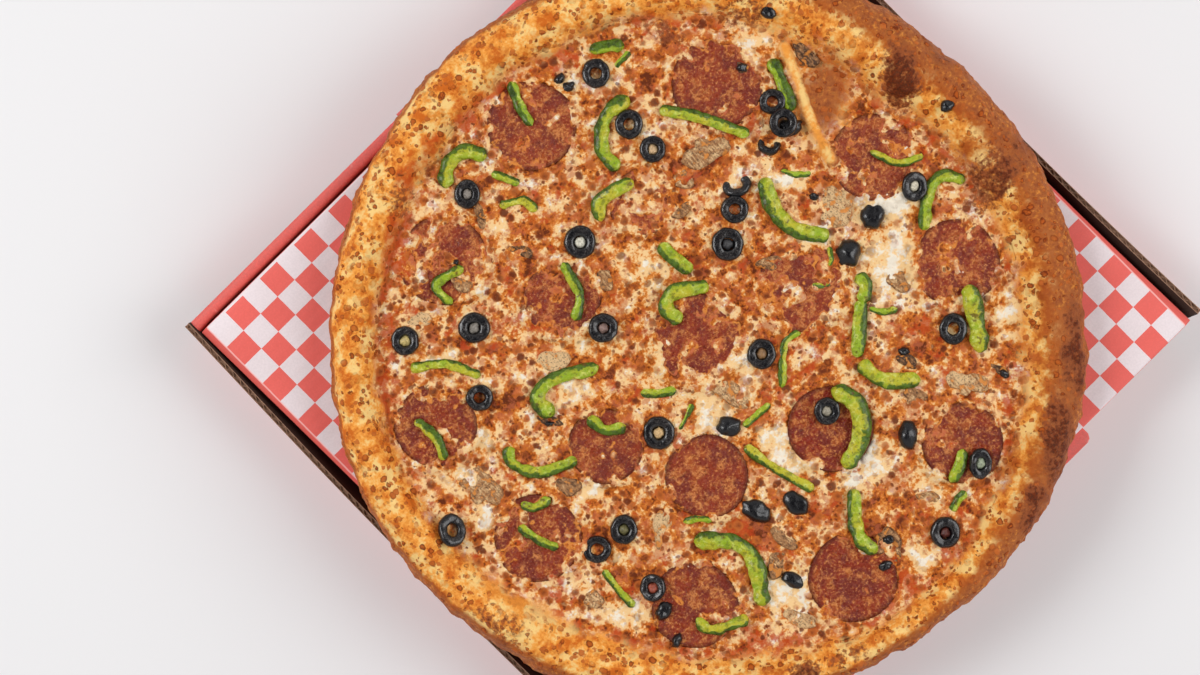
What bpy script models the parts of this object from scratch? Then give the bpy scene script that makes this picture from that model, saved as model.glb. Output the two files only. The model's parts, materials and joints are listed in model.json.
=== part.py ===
"""Thick-crust pizza lying on its own closed cardboard box.

Metres, +Z up. The origin is the centre of the box's foot, its front is at -Y and its hinge at +Y.
"""
import math
import random

import bmesh
import bpy
from mathutils import Vector
from mathutils.bvhtree import BVHTree

# Clearance between pieces that touch.
GAP = 0.0003

# Box: 3 mm corrugated board, a 406 x 404 mm foot and a closed lid.
BOARD = 0.003
TRAY_WIDTH = 0.406
TRAY_DEPTH = 0.404
TRAY_WALL_TOP = 0.046
TRAY_FLOOR_TOP = 0.010
TRAY_STATIONS = 9
CORE_WIDTH = 0.389
FRONT_ROLL_DEPTH = 0.0075
FRONT_ROLL_TOP = 0.044
FRONT_ROLL_WIDTH = 0.409
BACK_TAB_WIDTH = 0.234
BACK_TAB_REACH = 0.0085
BACK_TAB_CHAMFER = 0.0035
WALL_LEAN = 0.0087
WALL_BOW = 0.0037
WALL_CORNER_SPLAY = 0.0043

LID_WIDTH = 0.399
LID_FRONT = -0.1931
LID_BACK = 0.2019
LID_TOP = 0.047
LID_STATIONS = 9
FLAP_FOOT = 0.015
FLAP_INSET = 0.0008
FLAP_LEAN = 0.2
FOLD_DROP = 0.6
FLAP_STRIP_LEFT = (0.0018, 0.0030)
FLAP_STRIP_RIGHT = (0.0012, 0.0038)
FRONT_TAB_WIDTH = 0.059
FRONT_TAB_SHIFT = 0.007
FRONT_TAB_REACH = 0.010

# Pizza: a rolled rim round a flat floor of dough, with the cheese on that floor.
PIZZA_CENTRE = Vector((-0.0011, 0.0107, LID_TOP + GAP))
RIM_SIDES = 118
RIM_RADIUS = 0.2128
RIM_WIDTH = 0.035
RIM_HEIGHT = 0.029
RIM_RIPPLE_OUT = 0.0003
RIM_RIPPLE_UP = 0.0004
RIM_RIPPLES = 4
DOUGH_THICKNESS = 0.012
CHEESE_THICKNESS = 0.005
CHEESE_EDGE_DROP = 0.0012
CHEESE_WAVE = 0.0005
CHEESE_WAVE_LENGTHS = (0.021, 0.018, 0.027)
CHEESE_WAVE_START = 1.3
CHEESE_WAVE_SHARE = 0.8
CHEESE_SIDES = 72

# Swells: angle from +X in degrees, spread in degrees, size in metres.
RADIUS_SWELLS = (
    (185, 24, -0.0050), (73, 16, -0.0030), (120, 22, 0.0036), (340, 22, 0.0022), (265, 8, 0.0022),
)
WIDTH_SWELLS = ((192, 26, 0.010), (135, 25, 0.006), (80, 25, -0.013), (325, 30, -0.006))
HEIGHT_SWELLS = ((200, 30, 0.003), (90, 25, -0.003), (20, 35, -0.0015))

# Cross-section of the rim: share of its width inwards, share of its height.
RIM_PROFILE = (
    (0.30, 0.00), (0.09, 0.09), (0.00, 0.33), (0.03, 0.58), (0.14, 0.82),
    (0.31, 0.96), (0.50, 1.00), (0.68, 0.93), (0.83, 0.78), (0.94, 0.61),
)
CHEESE_RINGS = (0.93, 0.80, 0.65, 0.50, 0.35, 0.18)

PEPPERONI_THICKNESS = 0.0022
PEPPERONI_SIDES = 17
PEPPERONI_CUP = 0.0008
PEPPERONI_UNEVEN = 0.015
OLIVE_HEIGHT = 0.0045
OLIVE_SIDES = 10
OLIVE_TURN = math.pi / 4
PEPPER_HEIGHT = 0.55
PEPPER_SPACING = 0.0065
PEPPER_END = 0.7
MUSHROOM_HEIGHT = 0.0045
MUSHROOM_SIDES = 10
CURVE_STEPS = 12
SINK = 0.0015

# Cross-sections of the toppings: share of the radius or width, share of the height.
PEPPERONI_PROFILE = ((0.97, 0.2), (1, 0.6), (0.86, 1))
OLIVE_PROFILE = ((0.42, 0), (0.94, 0), (1, 0.5), (0.92, 1), (0.42, 0.92))
PEPPER_PROFILE = ((-0.36, 0), (-0.5, 0.5), (0, 1), (0.5, 0.5), (0.36, 0))
MUSHROOM_PROFILE = ((1, 0), (0.97, 0.6), (0.6, 1))

# Toppings are placed on a top view in which the box lies turned: across and down from the
# view's corner, in steps of VIEW_STEP. A round topping has its half width and half height too.
VIEW_STEP = 0.0005615
VIEW_ORIGIN = (692.6, 320.8)
VIEW_TURN = math.radians(45.25)

# Risen bubbles of the crust: across, down, radius and height in metres.
BUBBLES = (
    (846, 52, 18, 0.0045), (821, 84, 24, 0.0030), (898, 82, 17, 0.0030), (990, 175, 22, 0.0045),
    (502, 625, 28, 0.0025), (1050, 440, 26, 0.0025), (640, 20, 26, 0.0025), (420, 130, 30, 0.0020),
    (360, 400, 30, 0.0022), (745, 690, 28, 0.0022), (1010, 590, 26, 0.0020), (370, 250, 26, 0.0018),
)

PEPPERONI = (
    (531, 125, 44), (717, 84, 45), (444, 261, 44), (642, 202, 32), (562, 300, 38), (697, 338, 45),
    (802, 287, 44), (876, 157, 43), (958, 263, 43), (436, 425, 41), (707, 477, 41), (832, 428, 42),
    (606, 446, 37), (538, 538, 43), (695, 606, 43), (854, 579, 44), (964, 443, 40),
)

OLIVES = (
    (596, 73, 15, 15), (629, 124, 15, 15), (653, 149, 14, 14), (467, 194, 14, 15), (580, 242, 17, 17),
    (474, 328, 17, 15.5), (405, 341, 15, 15), (603, 328, 16, 15), (479, 398, 14.5, 13.5), (783, 123, 15, 15),
    (735, 209, 15, 14), (728, 244, 17, 17), (914, 186, 14, 15), (954, 329, 15, 16), (762, 354, 15.5, 15.5),
    (827, 411, 14, 14), (659, 433, 17, 17), (980, 463, 12, 16), (946, 533, 16, 16), (451, 531, 15, 17),
    (624, 530, 14.5, 15), (654, 588, 14, 14),
)

# Olives fused to the cheese: the smaller and half-hidden ones.
SMALL_OLIVES = (
    (773, 101, 10, 10), (770, 147, 11, 7), (738, 187, 14, 6), (873, 216, 11, 13), (849, 254, 11, 15),
    (729, 427, 10, 10), (911, 436, 9, 15), (597, 550, 13, 12), (757, 511, 15, 10), (797, 504, 11, 12),
    (794, 581, 9, 12),
)

# Pepper strips: width, then the places along the strip. These lie on or across pepperoni.
PEPPERS = (
    (10, (511, 82), (519, 105), (531, 125)),
    (12, (633, 181), (601, 200), (600, 220)),
    (10, (463, 267), (436, 285), (451, 304)),
    (10, (563, 263), (577, 288), (580, 301), (575, 320)),
    (11, (660, 109), (698, 117), (749, 134)),
    (7, (871, 151), (898, 163), (924, 156)),
    (13, (970, 285), (978, 315), (983, 354)),
    (12, (709, 286), (675, 292), (666, 308), (681, 322)),
    (12, (588, 418), (606, 430), (626, 427)),
    (13, (833, 388), (857, 405), (861, 437), (845, 468)),
    (12, (854, 490), (858, 535), (877, 552)),
    (9, (521, 504), (535, 508), (550, 498)),
    (9, (519, 527), (540, 541), (558, 548)),
    (11, (697, 619), (712, 630), (749, 619)),
    (11, (964, 450), (960, 466), (952, 482)),
    (10, (416, 420), (436, 438), (445, 460)),
)

# Pepper strips fused to the cheese.
LOW_PEPPERS = (
    (10, (445, 187), (448, 164), (464, 151), (482, 155)),
    (10, (624, 95), (605, 113), (600, 136), (603, 153), (613, 166)),
    (13, (590, 49), (608, 45), (624, 44)),
    (7, (491, 173), (505, 177), (519, 183)),
    (7, (500, 205), (523, 200), (536, 211)),
    (12, (773, 58), (781, 78), (790, 98)),
    (15, (764, 183), (776, 216), (795, 231), (827, 234)),
    (6, (782, 170), (796, 172), (810, 176)),
    (9, (958, 181), (945, 175), (934, 196), (924, 214)),
    (15, (858, 277), (867, 285), (863, 300)),
    (12, (862, 300), (860, 330), (858, 359)),
    (7, (870, 308), (884, 310), (896, 309)),
    (14, (860, 361), (884, 382), (921, 378)),
    (10, (662, 244), (675, 257), (686, 269)),
    (8, (789, 338), (787, 362), (783, 390)),
    (13, (598, 367), (544, 382), (537, 395), (550, 420)),
    (10, (410, 369), (445, 363), (476, 373)),
    (9, (521, 447), (506, 457), (531, 474), (560, 465)),
    (9, (641, 395), (658, 396), (676, 393)),
    (5, (692, 408), (687, 417), (682, 426)),
    (7, (746, 425), (760, 418), (773, 409)),
    (10, (753, 450), (773, 468), (812, 487)),
    (9, (604, 571), (616, 588), (630, 602)),
    (14, (695, 540), (729, 537), (752, 563), (760, 605)),
    (8, (686, 525), (699, 523), (712, 524)),
    (10, (967, 492), (960, 500), (955, 508)),
)

# Mushroom slices fused to the cheese: half width, half height, turn in degrees.
MUSHROOMS = (
    (684, 179, 9, 8, 0), (836, 208, 12, 22, 10), (796, 67, 14, 7, 45), (521, 251, 13, 5, 22),
    (480, 221, 4, 6, 20), (606, 279, 8, 8, 0), (731, 393, 21, 10, 20), (481, 485, 22, 17, 30),
    (554, 361, 14, 11, 0), (420, 320, 8, 8, 0), (550, 421, 14, 4, 18), (662, 529, 9, 15, 5),
    (777, 565, 8, 11, 20), (785, 540, 12, 8, 30), (967, 384, 18, 12, 10), (1001, 368, 9, 5, 30),
    (908, 361, 9, 6, 40), (915, 397, 12, 7, 20), (900, 281, 13, 12, 0), (594, 600, 9, 9, 0),
    (568, 487, 10, 10, 0), (704, 148, 14, 4, 160), (683, 212, 7, 4, 150),
)

COLOURS = {
    "printed_board": ((0.90, 0.17, 0.13), 0.62),
    "dough": ((0.74, 0.38, 0.13), 0.72),
    "cheese": ((0.88, 0.56, 0.27), 0.50),
    "pepperoni": ((0.42, 0.09, 0.05), 0.42),
    "olive": ((0.025, 0.022, 0.024), 0.28),
    "pepper": ((0.28, 0.42, 0.05), 0.33),
}


def clear_scene():
    """Empty the file that the script runs in."""
    for old in list(bpy.data.objects):
        bpy.data.objects.remove(old, do_unlink=True)


def material(name):
    """Principled finish of that name, made once."""
    made = bpy.data.materials.get(name)
    if made:
        return made
    made = bpy.data.materials.new(name)
    made.use_nodes = True
    colour, roughness = COLOURS[name]
    shader = made.node_tree.nodes["Principled BSDF"]
    shader.inputs["Base Color"].default_value = (*colour, 1)
    shader.inputs["Roughness"].default_value = roughness
    shader.inputs["Metallic"].default_value = 0
    return made


def skin(name, rings, finish, poles=None, ring=False, at=Vector()):
    """Closed object over rings of points, shut by two poles, by end faces, or on itself."""
    body = bmesh.new()
    rows = [[body.verts.new(point - at) for point in points] for points in rings]
    pairs = list(zip(rows, rows[1:]))
    if ring:
        pairs.append((rows[-1], rows[0]))
    for low, high in pairs:
        for k in range(len(low)):
            n = (k + 1) % len(low)
            body.faces.new((low[k], low[n], high[n], high[k]))
    if poles:
        for row, pole in zip((rows[0], rows[-1]), poles):
            tip = body.verts.new(pole - at)
            for k in range(len(row)):
                body.faces.new((row[k], row[(k + 1) % len(row)], tip))
    elif not ring:
        body.faces.new(rows[0])
        body.faces.new(rows[-1])
    bmesh.ops.recalc_face_normals(body, faces=body.faces)
    mesh = bpy.data.meshes.new(name)
    body.to_mesh(mesh)
    body.free()
    mesh.materials.append(material(finish))
    made = bpy.data.objects.new(name, mesh)
    made.location = at
    bpy.context.scene.collection.objects.link(made)
    return made


def block(name, low, high, finish):
    """Plain board or block between two corners."""
    corners = ((low.x, low.y), (high.x, low.y), (high.x, high.y), (low.x, high.y))
    rings = [[Vector((x, y, z)) for x, y in corners] for z in (low.z, high.z)]
    return skin(name, rings, finish)


def fuse(base, pieces):
    """Join the pieces to the base as one solid and remove them."""
    group = bpy.data.collections.new(base.name + "_pieces")
    bpy.context.scene.collection.children.link(group)
    for piece in pieces:
        bpy.context.scene.collection.objects.unlink(piece)
        group.objects.link(piece)
    union = base.modifiers.new("fuse", "BOOLEAN")
    union.operation = "UNION"
    union.operand_type = "COLLECTION"
    union.collection = group
    union.solver = "EXACT"
    seen = base.evaluated_get(bpy.context.evaluated_depsgraph_get())
    joined = bpy.data.meshes.new_from_object(seen)
    base.modifiers.remove(union)
    base.data = joined
    for piece in pieces:
        bpy.data.objects.remove(piece, do_unlink=True)
    bpy.data.collections.remove(group)


def along_box(y):
    """Share of the way from the box's front to its back."""
    return (y + TRAY_DEPTH / 2) / TRAY_DEPTH


def wall_reach(side, y):
    """How far a leaning side wall's top stands out past the lid's edge."""
    t = along_box(y)
    if side > 0:
        return WALL_LEAN + WALL_BOW * math.sin(math.pi * t)
    return WALL_LEAN + WALL_CORNER_SPLAY * t ** 4


def strip_width(side, y):
    """Width of the sloping strip between the lid's edge and its side flap."""
    t = along_box(y)
    if side > 0:
        return FLAP_STRIP_LEFT[0] + FLAP_STRIP_LEFT[1] * (1 - t) ** 3
    return FLAP_STRIP_RIGHT[0] + FLAP_STRIP_RIGHT[1] * t ** 4


def mirrored_section(y, half):
    """Whole cross-section at y from the points of each half, outermost last and first."""
    right = [Vector((x, y, z)) for x, z in half(1, y)]
    left = [Vector((-x, y, z)) for x, z in half(-1, y)]
    return right + left[::-1]


def tray_half(side, y):
    """Half of the tray's channel: foot, leaning wall and floor."""
    foot = TRAY_WIDTH / 2
    top = LID_WIDTH / 2 + wall_reach(side, y)
    return (
        (foot, 0), (top, TRAY_WALL_TOP), (top - BOARD, TRAY_WALL_TOP), (foot - BOARD, TRAY_FLOOR_TOP),
    )


def lid_half(side, y):
    """Half of the lid: panel, sloping strip and the flap that drops inside the wall."""
    edge = LID_WIDTH / 2
    strip = strip_width(side, y)
    knee = LID_TOP - BOARD / 2 - strip / 2
    foot = edge - FLAP_INSET + FLAP_LEAN * strip
    return (
        (edge, LID_TOP), (edge + strip, knee), (foot, FLAP_FOOT), (foot - BOARD, FLAP_FOOT),
        (edge + strip - BOARD, LID_TOP - BOARD - FOLD_DROP * strip), (edge - BOARD, LID_TOP - BOARD),
    )


def stations(start, end, count):
    """Even places from start to end, both included."""
    return [start + (end - start) * k / (count - 1) for k in range(count)]


def build_tray():
    """Tray with leaning side walls, a rolled front wall and a tab behind its back wall."""
    places = stations(-TRAY_DEPTH / 2, TRAY_DEPTH / 2, TRAY_STATIONS)
    rings = [mirrored_section(y, tray_half) for y in places]
    tray = skin("box_tray", rings, "printed_board")
    under_lid = LID_TOP - BOARD - GAP
    core = block(
        "core", Vector((-CORE_WIDTH / 2, LID_FRONT, BOARD)),
        Vector((CORE_WIDTH / 2, TRAY_DEPTH / 2 - GAP, under_lid)), "printed_board")
    front = -TRAY_DEPTH / 2
    roll = block(
        "roll", Vector((-FRONT_ROLL_WIDTH / 2, front + GAP, BOARD)),
        Vector((FRONT_ROLL_WIDTH / 2, front + FRONT_ROLL_DEPTH, FRONT_ROLL_TOP)), "printed_board")
    back = TRAY_DEPTH / 2
    half = BACK_TAB_WIDTH / 2
    outline = (
        (-half, back - BOARD), (half, back - BOARD), (half, back + BACK_TAB_REACH - BACK_TAB_CHAMFER),
        (half - BACK_TAB_CHAMFER, back + BACK_TAB_REACH), (BACK_TAB_CHAMFER - half, back + BACK_TAB_REACH),
        (-half, back + BACK_TAB_REACH - BACK_TAB_CHAMFER),
    )
    levels = (under_lid - BOARD, under_lid - GAP)
    tab = skin("tab", [[Vector((x, y, z)) for x, y in outline] for z in levels], "printed_board")
    fuse(tray, [core, roll, tab])


def build_lid():
    """Closed lid: a flat panel with side flaps and a short tab over the front wall."""
    rings = [mirrored_section(y, lid_half) for y in stations(LID_FRONT, LID_BACK, LID_STATIONS)]
    lid = skin("box_lid", rings, "printed_board")
    half = FRONT_TAB_WIDTH / 2
    tab = block(
        "tab", Vector((FRONT_TAB_SHIFT - half, LID_FRONT - FRONT_TAB_REACH, FRONT_ROLL_TOP + GAP)),
        Vector((FRONT_TAB_SHIFT + half, LID_FRONT + BOARD, LID_TOP)), "printed_board")
    fuse(lid, [tab])


def on_view(across, down):
    """Place in the frame of a point on the top view."""
    right = (across - VIEW_ORIGIN[0]) * VIEW_STEP
    up = (VIEW_ORIGIN[1] - down) * VIEW_STEP
    x = -right * math.sin(VIEW_TURN) - up * math.cos(VIEW_TURN)
    y = right * math.cos(VIEW_TURN) - up * math.sin(VIEW_TURN)
    return Vector((x, y, 0))


def swell(angle, swells):
    """Sum of the swells at an angle in radians."""
    total = 0
    for centre, spread, size in swells:
        away = (math.degrees(angle) - centre + 180) % 360 - 180
        total += size * math.exp(-((away / spread) ** 2))
    return total


def bubble_rise(place):
    """Height that the risen bubbles add at a place on the crust."""
    rise = 0
    for across, down, radius, height in BUBBLES:
        away = (place.xy - on_view(across, down).xy).length / (radius * VIEW_STEP)
        rise += height * math.exp(-away * away)
    return rise


def rim_size(angle):
    """Outer radius and width of the rim at an angle."""
    return RIM_RADIUS + swell(angle, RADIUS_SWELLS), RIM_WIDTH + swell(angle, WIDTH_SWELLS)


def around(sides):
    """Angles of the corners of a round piece."""
    return [math.tau * k / sides for k in range(sides)]


def build_crust():
    """Dough: flat foot, puffed rim with bubbles, and the floor under the cheese."""
    draw = random.Random(16)
    phases = [draw.uniform(0, math.tau) for _ in range(RIM_RIPPLES)]
    rings = []
    for inward, upward in RIM_PROFILE:
        ring = []
        for angle in around(RIM_SIDES):
            radius, width = rim_size(angle)
            height = RIM_HEIGHT + swell(angle, HEIGHT_SWELLS)
            uneven = sum(math.sin((5 + 3 * k) * angle + phase) for k, phase in enumerate(phases))
            out = radius - inward * width + RIM_RIPPLE_OUT * uneven * (1 - inward)
            place = PIZZA_CENTRE + Vector((out * math.cos(angle), out * math.sin(angle), 0))
            lift = (height + RIM_RIPPLE_UP * uneven + bubble_rise(place)) * upward
            ring.append(place + Vector((0, 0, lift)))
        rings.append(ring)
    floor = []
    for angle in around(RIM_SIDES):
        radius, width = rim_size(angle)
        out = radius - width
        floor.append(PIZZA_CENTRE + Vector((out * math.cos(angle), out * math.sin(angle), DOUGH_THICKNESS)))
    rings.append(floor)
    poles = (PIZZA_CENTRE, PIZZA_CENTRE + Vector((0, 0, DOUGH_THICKNESS)))
    return skin("crust", rings, "dough", poles=poles)


def cheese_top(x, y):
    """Height of the melted cheese."""
    along, across, slanting = CHEESE_WAVE_LENGTHS
    wave = math.sin(x / along + CHEESE_WAVE_START) * math.sin(y / across)
    wave += CHEESE_WAVE_SHARE * math.sin((x + y) / slanting)
    return PIZZA_CENTRE.z + DOUGH_THICKNESS + GAP + CHEESE_THICKNESS + CHEESE_WAVE * wave


def build_cheese():
    """Layer of sauce and melted cheese on the dough's floor."""
    bed = PIZZA_CENTRE.z + DOUGH_THICKNESS + GAP
    clear = 2 * GAP
    under = []
    edge = []
    for angle in around(CHEESE_SIDES):
        radius, width = rim_size(angle)
        out = radius - width - clear
        place = PIZZA_CENTRE.xy + out * Vector((math.cos(angle), math.sin(angle)))
        under.append(Vector((place.x, place.y, bed)))
        edge.append(Vector((place.x, place.y, cheese_top(place.x, place.y) - CHEESE_EDGE_DROP)))
    rings = [under, edge]
    for share in CHEESE_RINGS:
        ring = []
        for rim in edge:
            place = PIZZA_CENTRE.xy + share * (rim.xy - PIZZA_CENTRE.xy)
            ring.append(Vector((place.x, place.y, cheese_top(place.x, place.y))))
        rings.append(ring)
    bottom = Vector((PIZZA_CENTRE.x, PIZZA_CENTRE.y, bed))
    top = Vector((PIZZA_CENTRE.x, PIZZA_CENTRE.y, cheese_top(PIZZA_CENTRE.x, PIZZA_CENTRE.y)))
    return skin("cheese", rings, "cheese", poles=(bottom, top))


def smooth_path(points, spacing):
    """Even points along a soft curve through the given ones."""
    ends = [2 * points[0] - points[1]] + list(points) + [2 * points[-1] - points[-2]]
    fine = []
    for a, b, c, d in zip(ends, ends[1:], ends[2:], ends[3:]):
        for k in range(CURVE_STEPS):
            t = k / CURVE_STEPS
            fine.append(0.5 * (2 * b + (c - a) * t + (2 * a - 5 * b + 4 * c - d) * t * t
                               + (3 * b - a - 3 * c + d) * t ** 3))
    fine.append(points[-1])
    lengths = [0]
    for a, b in zip(fine, fine[1:]):
        lengths.append(lengths[-1] + (b - a).length)
    count = max(4, round(lengths[-1] / spacing))
    path = []
    for k in range(count + 1):
        goal = lengths[-1] * k / count
        after = next(n for n, length in enumerate(lengths) if length >= goal - 1e-9)
        path.append(fine[after])
    return path


def resting_on(solids):
    """Search trees of the solids that later pieces lie on."""
    trees = []
    for solid in solids:
        points = [solid.matrix_world @ vertex.co for vertex in solid.data.vertices]
        faces = [tuple(face.vertices) for face in solid.data.polygons]
        trees.append(BVHTree.FromPolygons(points, faces))
    return trees


def top_at(trees, x, y):
    """Height of the highest surface at a place."""
    hits = [tree.ray_cast(Vector((x, y, 1)), Vector((0, 0, -1)))[0] for tree in trees]
    return max(hit.z for hit in hits if hit)


def bed_under(trees, centre, reach):
    """Slopes and height of the plane on which a round piece lies clear of all below it."""
    spots = [Vector((math.cos(a), math.sin(a))) * reach for a in around(16)]
    heights = [top_at(trees, centre.x + spot.x, centre.y + spot.y) for spot in spots]
    slope = sum((spot * height for spot, height in zip(spots, heights)), Vector((0, 0)))
    slope *= 2 / (len(spots) * reach * reach)
    inner = [spot * 0.5 for spot in spots] + [Vector((0, 0))]
    heights += [top_at(trees, centre.x + spot.x, centre.y + spot.y) for spot in inner]
    level = max(height - slope.dot(spot) for spot, height in zip(spots + inner, heights))
    return slope, level + GAP


def olive(name, place, trees, sink):
    """Slice of a black olive with its hole."""
    across, down, half_wide, half_high = place
    centre = on_view(across, down)
    reach = Vector((half_high, half_wide)) * VIEW_STEP
    cos_turn, sin_turn = math.cos(OLIVE_TURN), math.sin(OLIVE_TURN)
    slope, level = bed_under(trees, centre, max(reach))
    centre.z = level - sink
    rings = []
    for share, upward in OLIVE_PROFILE:
        ring = []
        for angle in around(OLIVE_SIDES):
            a = share * reach.x * math.cos(angle)
            b = share * reach.y * math.sin(angle)
            spot = Vector((a * cos_turn - b * sin_turn, a * sin_turn + b * cos_turn))
            ring.append(centre + Vector((spot.x, spot.y, slope.dot(spot) + upward * (OLIVE_HEIGHT + sink))))
        rings.append(ring)
    return skin(name, rings, "olive", ring=True, at=centre)


def pepper(name, strip, trees, sink):
    """Strip of green pepper that follows what lies under it."""
    width = strip[0] * VIEW_STEP
    height = width * PEPPER_HEIGHT
    path = smooth_path([on_view(*place).xy for place in strip[1:]], PEPPER_SPACING)
    sides = []
    floors = []
    for k, place in enumerate(path):
        run = (path[min(k + 1, len(path) - 1)] - path[max(k - 1, 0)]).normalized()
        sides.append(Vector((-run.y, run.x)))
        across = [place + sides[-1] * width * share for share in (-0.5, -0.25, 0, 0.25, 0.5)]
        floors.append(max(top_at(trees, spot.x, spot.y) for spot in across))
    rings = []
    for k, place in enumerate(path):
        near = floors[max(k - 1, 0):k + 2]
        base = max(near) + 2 * GAP - sink
        taper = PEPPER_END if k in (0, len(path) - 1) else 1
        ring = []
        for share, level in PEPPER_PROFILE:
            spot = place + sides[k] * width * share * taper
            ring.append(Vector((spot.x, spot.y, base + (height + sink) * level * taper)))
        rings.append(ring)
    at = Vector((path[0].x, path[0].y, rings[0][0].z))
    return skin(name, rings, "pepper", at=at)


def pepperoni(name, place, trees, draw):
    """Slice of pepperoni whose edge cups up a little."""
    across, down, half = place
    centre = on_view(across, down)
    radius = half * VIEW_STEP
    slope, centre.z = bed_under(trees, centre, radius)
    start = draw.uniform(0, math.tau)
    rings = []
    for share, upward in PEPPERONI_PROFILE:
        ring = []
        for angle in around(PEPPERONI_SIDES):
            cup = PEPPERONI_CUP * share * (0.6 + 0.4 * math.sin(2 * angle + start))
            spread = radius * share * (1 + PEPPERONI_UNEVEN * math.sin(3 * angle + start))
            spot = Vector((math.cos(angle), math.sin(angle))) * spread
            rise = slope.dot(spot) + cup + upward * PEPPERONI_THICKNESS
            ring.append(centre + Vector((spot.x, spot.y, rise)))
        rings.append(ring)
    poles = (centre, centre + Vector((0, 0, PEPPERONI_THICKNESS)))
    return skin(name, rings, "pepperoni", poles=poles, at=centre)


def mushroom(name, place):
    """Low rounded slice of mushroom, sunk into the cheese."""
    across, down, half_wide, half_high, turn = place
    middle = on_view(across, down)
    bed = cheese_top(middle.x, middle.y) - SINK
    cos_turn, sin_turn = math.cos(math.radians(turn)), math.sin(math.radians(turn))
    rings = []
    for share, level in MUSHROOM_PROFILE:
        ring = []
        for angle in around(MUSHROOM_SIDES):
            a = share * half_wide * math.cos(angle)
            b = share * half_high * math.sin(angle)
            spot = on_view(across + a * cos_turn - b * sin_turn, down + a * sin_turn + b * cos_turn)
            ring.append(Vector((spot.x, spot.y, bed + level * MUSHROOM_HEIGHT)))
        rings.append(ring)
    low = Vector((middle.x, middle.y, bed))
    return skin(name, rings, "cheese", poles=(low, low + Vector((0, 0, MUSHROOM_HEIGHT))))


def build_toppings(crust, cheese):
    """Fuse the low toppings to the cheese, then lay the others on it one after another."""
    draw = random.Random(17)
    bare = resting_on([crust, cheese])
    low = [mushroom(f"mushroom_{k}", place) for k, place in enumerate(MUSHROOMS)]
    low += [pepper(f"low_pepper_{k}", strip, bare, SINK) for k, strip in enumerate(LOW_PEPPERS)]
    low += [olive(f"small_olive_{k}", place, bare, SINK) for k, place in enumerate(SMALL_OLIVES)]
    fuse(cheese, low)
    slices = [pepperoni(f"pepperoni_{k:02d}", place, bare, draw) for k, place in enumerate(PEPPERONI, 1)]
    bpy.context.view_layer.update()
    bed = resting_on([crust, cheese] + slices)
    for k, strip in enumerate(PEPPERS, 1):
        pepper(f"pepper_{k:02d}", strip, bed, 0)
    for k, place in enumerate(OLIVES, 1):
        olive(f"olive_{k:02d}", place, bed, 0)


def main():
    clear_scene()
    build_tray()
    build_lid()
    crust = build_crust()
    cheese = build_cheese()
    bpy.context.view_layer.update()
    build_toppings(crust, cheese)


main()
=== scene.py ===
"""Looks of a thick-crust pizza that lies on its own closed cardboard box.

Metres, +Z up. The origin is the centre of the box's foot, its front is at -Y and its hinge at +Y.
The file is laid out as an add-on, with one operator for each piece or group of like pieces.
"""

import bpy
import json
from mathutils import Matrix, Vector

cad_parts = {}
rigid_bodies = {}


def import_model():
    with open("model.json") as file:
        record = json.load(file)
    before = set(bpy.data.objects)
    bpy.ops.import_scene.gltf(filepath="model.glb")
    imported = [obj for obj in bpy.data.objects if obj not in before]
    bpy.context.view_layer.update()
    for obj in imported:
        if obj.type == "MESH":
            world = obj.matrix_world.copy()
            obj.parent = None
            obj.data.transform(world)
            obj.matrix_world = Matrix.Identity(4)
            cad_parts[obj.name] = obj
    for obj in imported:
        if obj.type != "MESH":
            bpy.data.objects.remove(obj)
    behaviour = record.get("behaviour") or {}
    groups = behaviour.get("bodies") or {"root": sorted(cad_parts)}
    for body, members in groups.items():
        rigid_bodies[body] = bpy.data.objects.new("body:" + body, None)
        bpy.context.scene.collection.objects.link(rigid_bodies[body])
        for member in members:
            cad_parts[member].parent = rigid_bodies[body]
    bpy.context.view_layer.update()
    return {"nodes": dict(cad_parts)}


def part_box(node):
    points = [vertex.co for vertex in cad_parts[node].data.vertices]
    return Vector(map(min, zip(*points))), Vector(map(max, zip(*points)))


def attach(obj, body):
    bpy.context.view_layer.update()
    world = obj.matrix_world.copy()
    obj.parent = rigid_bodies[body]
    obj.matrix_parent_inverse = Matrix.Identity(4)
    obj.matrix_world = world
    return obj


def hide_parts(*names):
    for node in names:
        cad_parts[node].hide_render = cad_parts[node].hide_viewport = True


bl_info = {
    "name": "Pizza on its box",
    "version": (1, 0, 0),
    "blender": (4, 5, 0),
    "location": "3D View > Sidebar > Pizza",
    "description": "Builds a baked pizza with its toppings and the closed cardboard box that it lies on",
    "category": "Add Mesh",
}

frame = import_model()

import json
import math

import bmesh
import bpy
import numpy as np
from mathutils import Matrix, Vector
from mathutils.bvhtree import BVHTree

RIDER = "root"

# The picture looks straight down on the object: pixels across and down from its corner, the size of
# one at the height of the toppings, the pixel at the frame's origin, and how far the box lies turned.
VIEW_STEP = 0.0005615
VIEW_ORIGIN = (692.6, 320.8)
VIEW_TURN = math.radians(45.25)
CAMERA_PLACE = (0.0435, -0.0299, 1.147)
CAMERA_LENS = 57.6
SENSOR = 36.0

# Soft lights: side and place of each, and what they point at.
KEY_SIZE = 1.1
KEY_PLACE = (0.95, -1.45, 1.75)
FILL_SIZE = 1.6
FILL_PLACE = (-1.3, 1.1, 1.6)
LIGHT_TARGET = (0, 0, 0.05)

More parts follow.
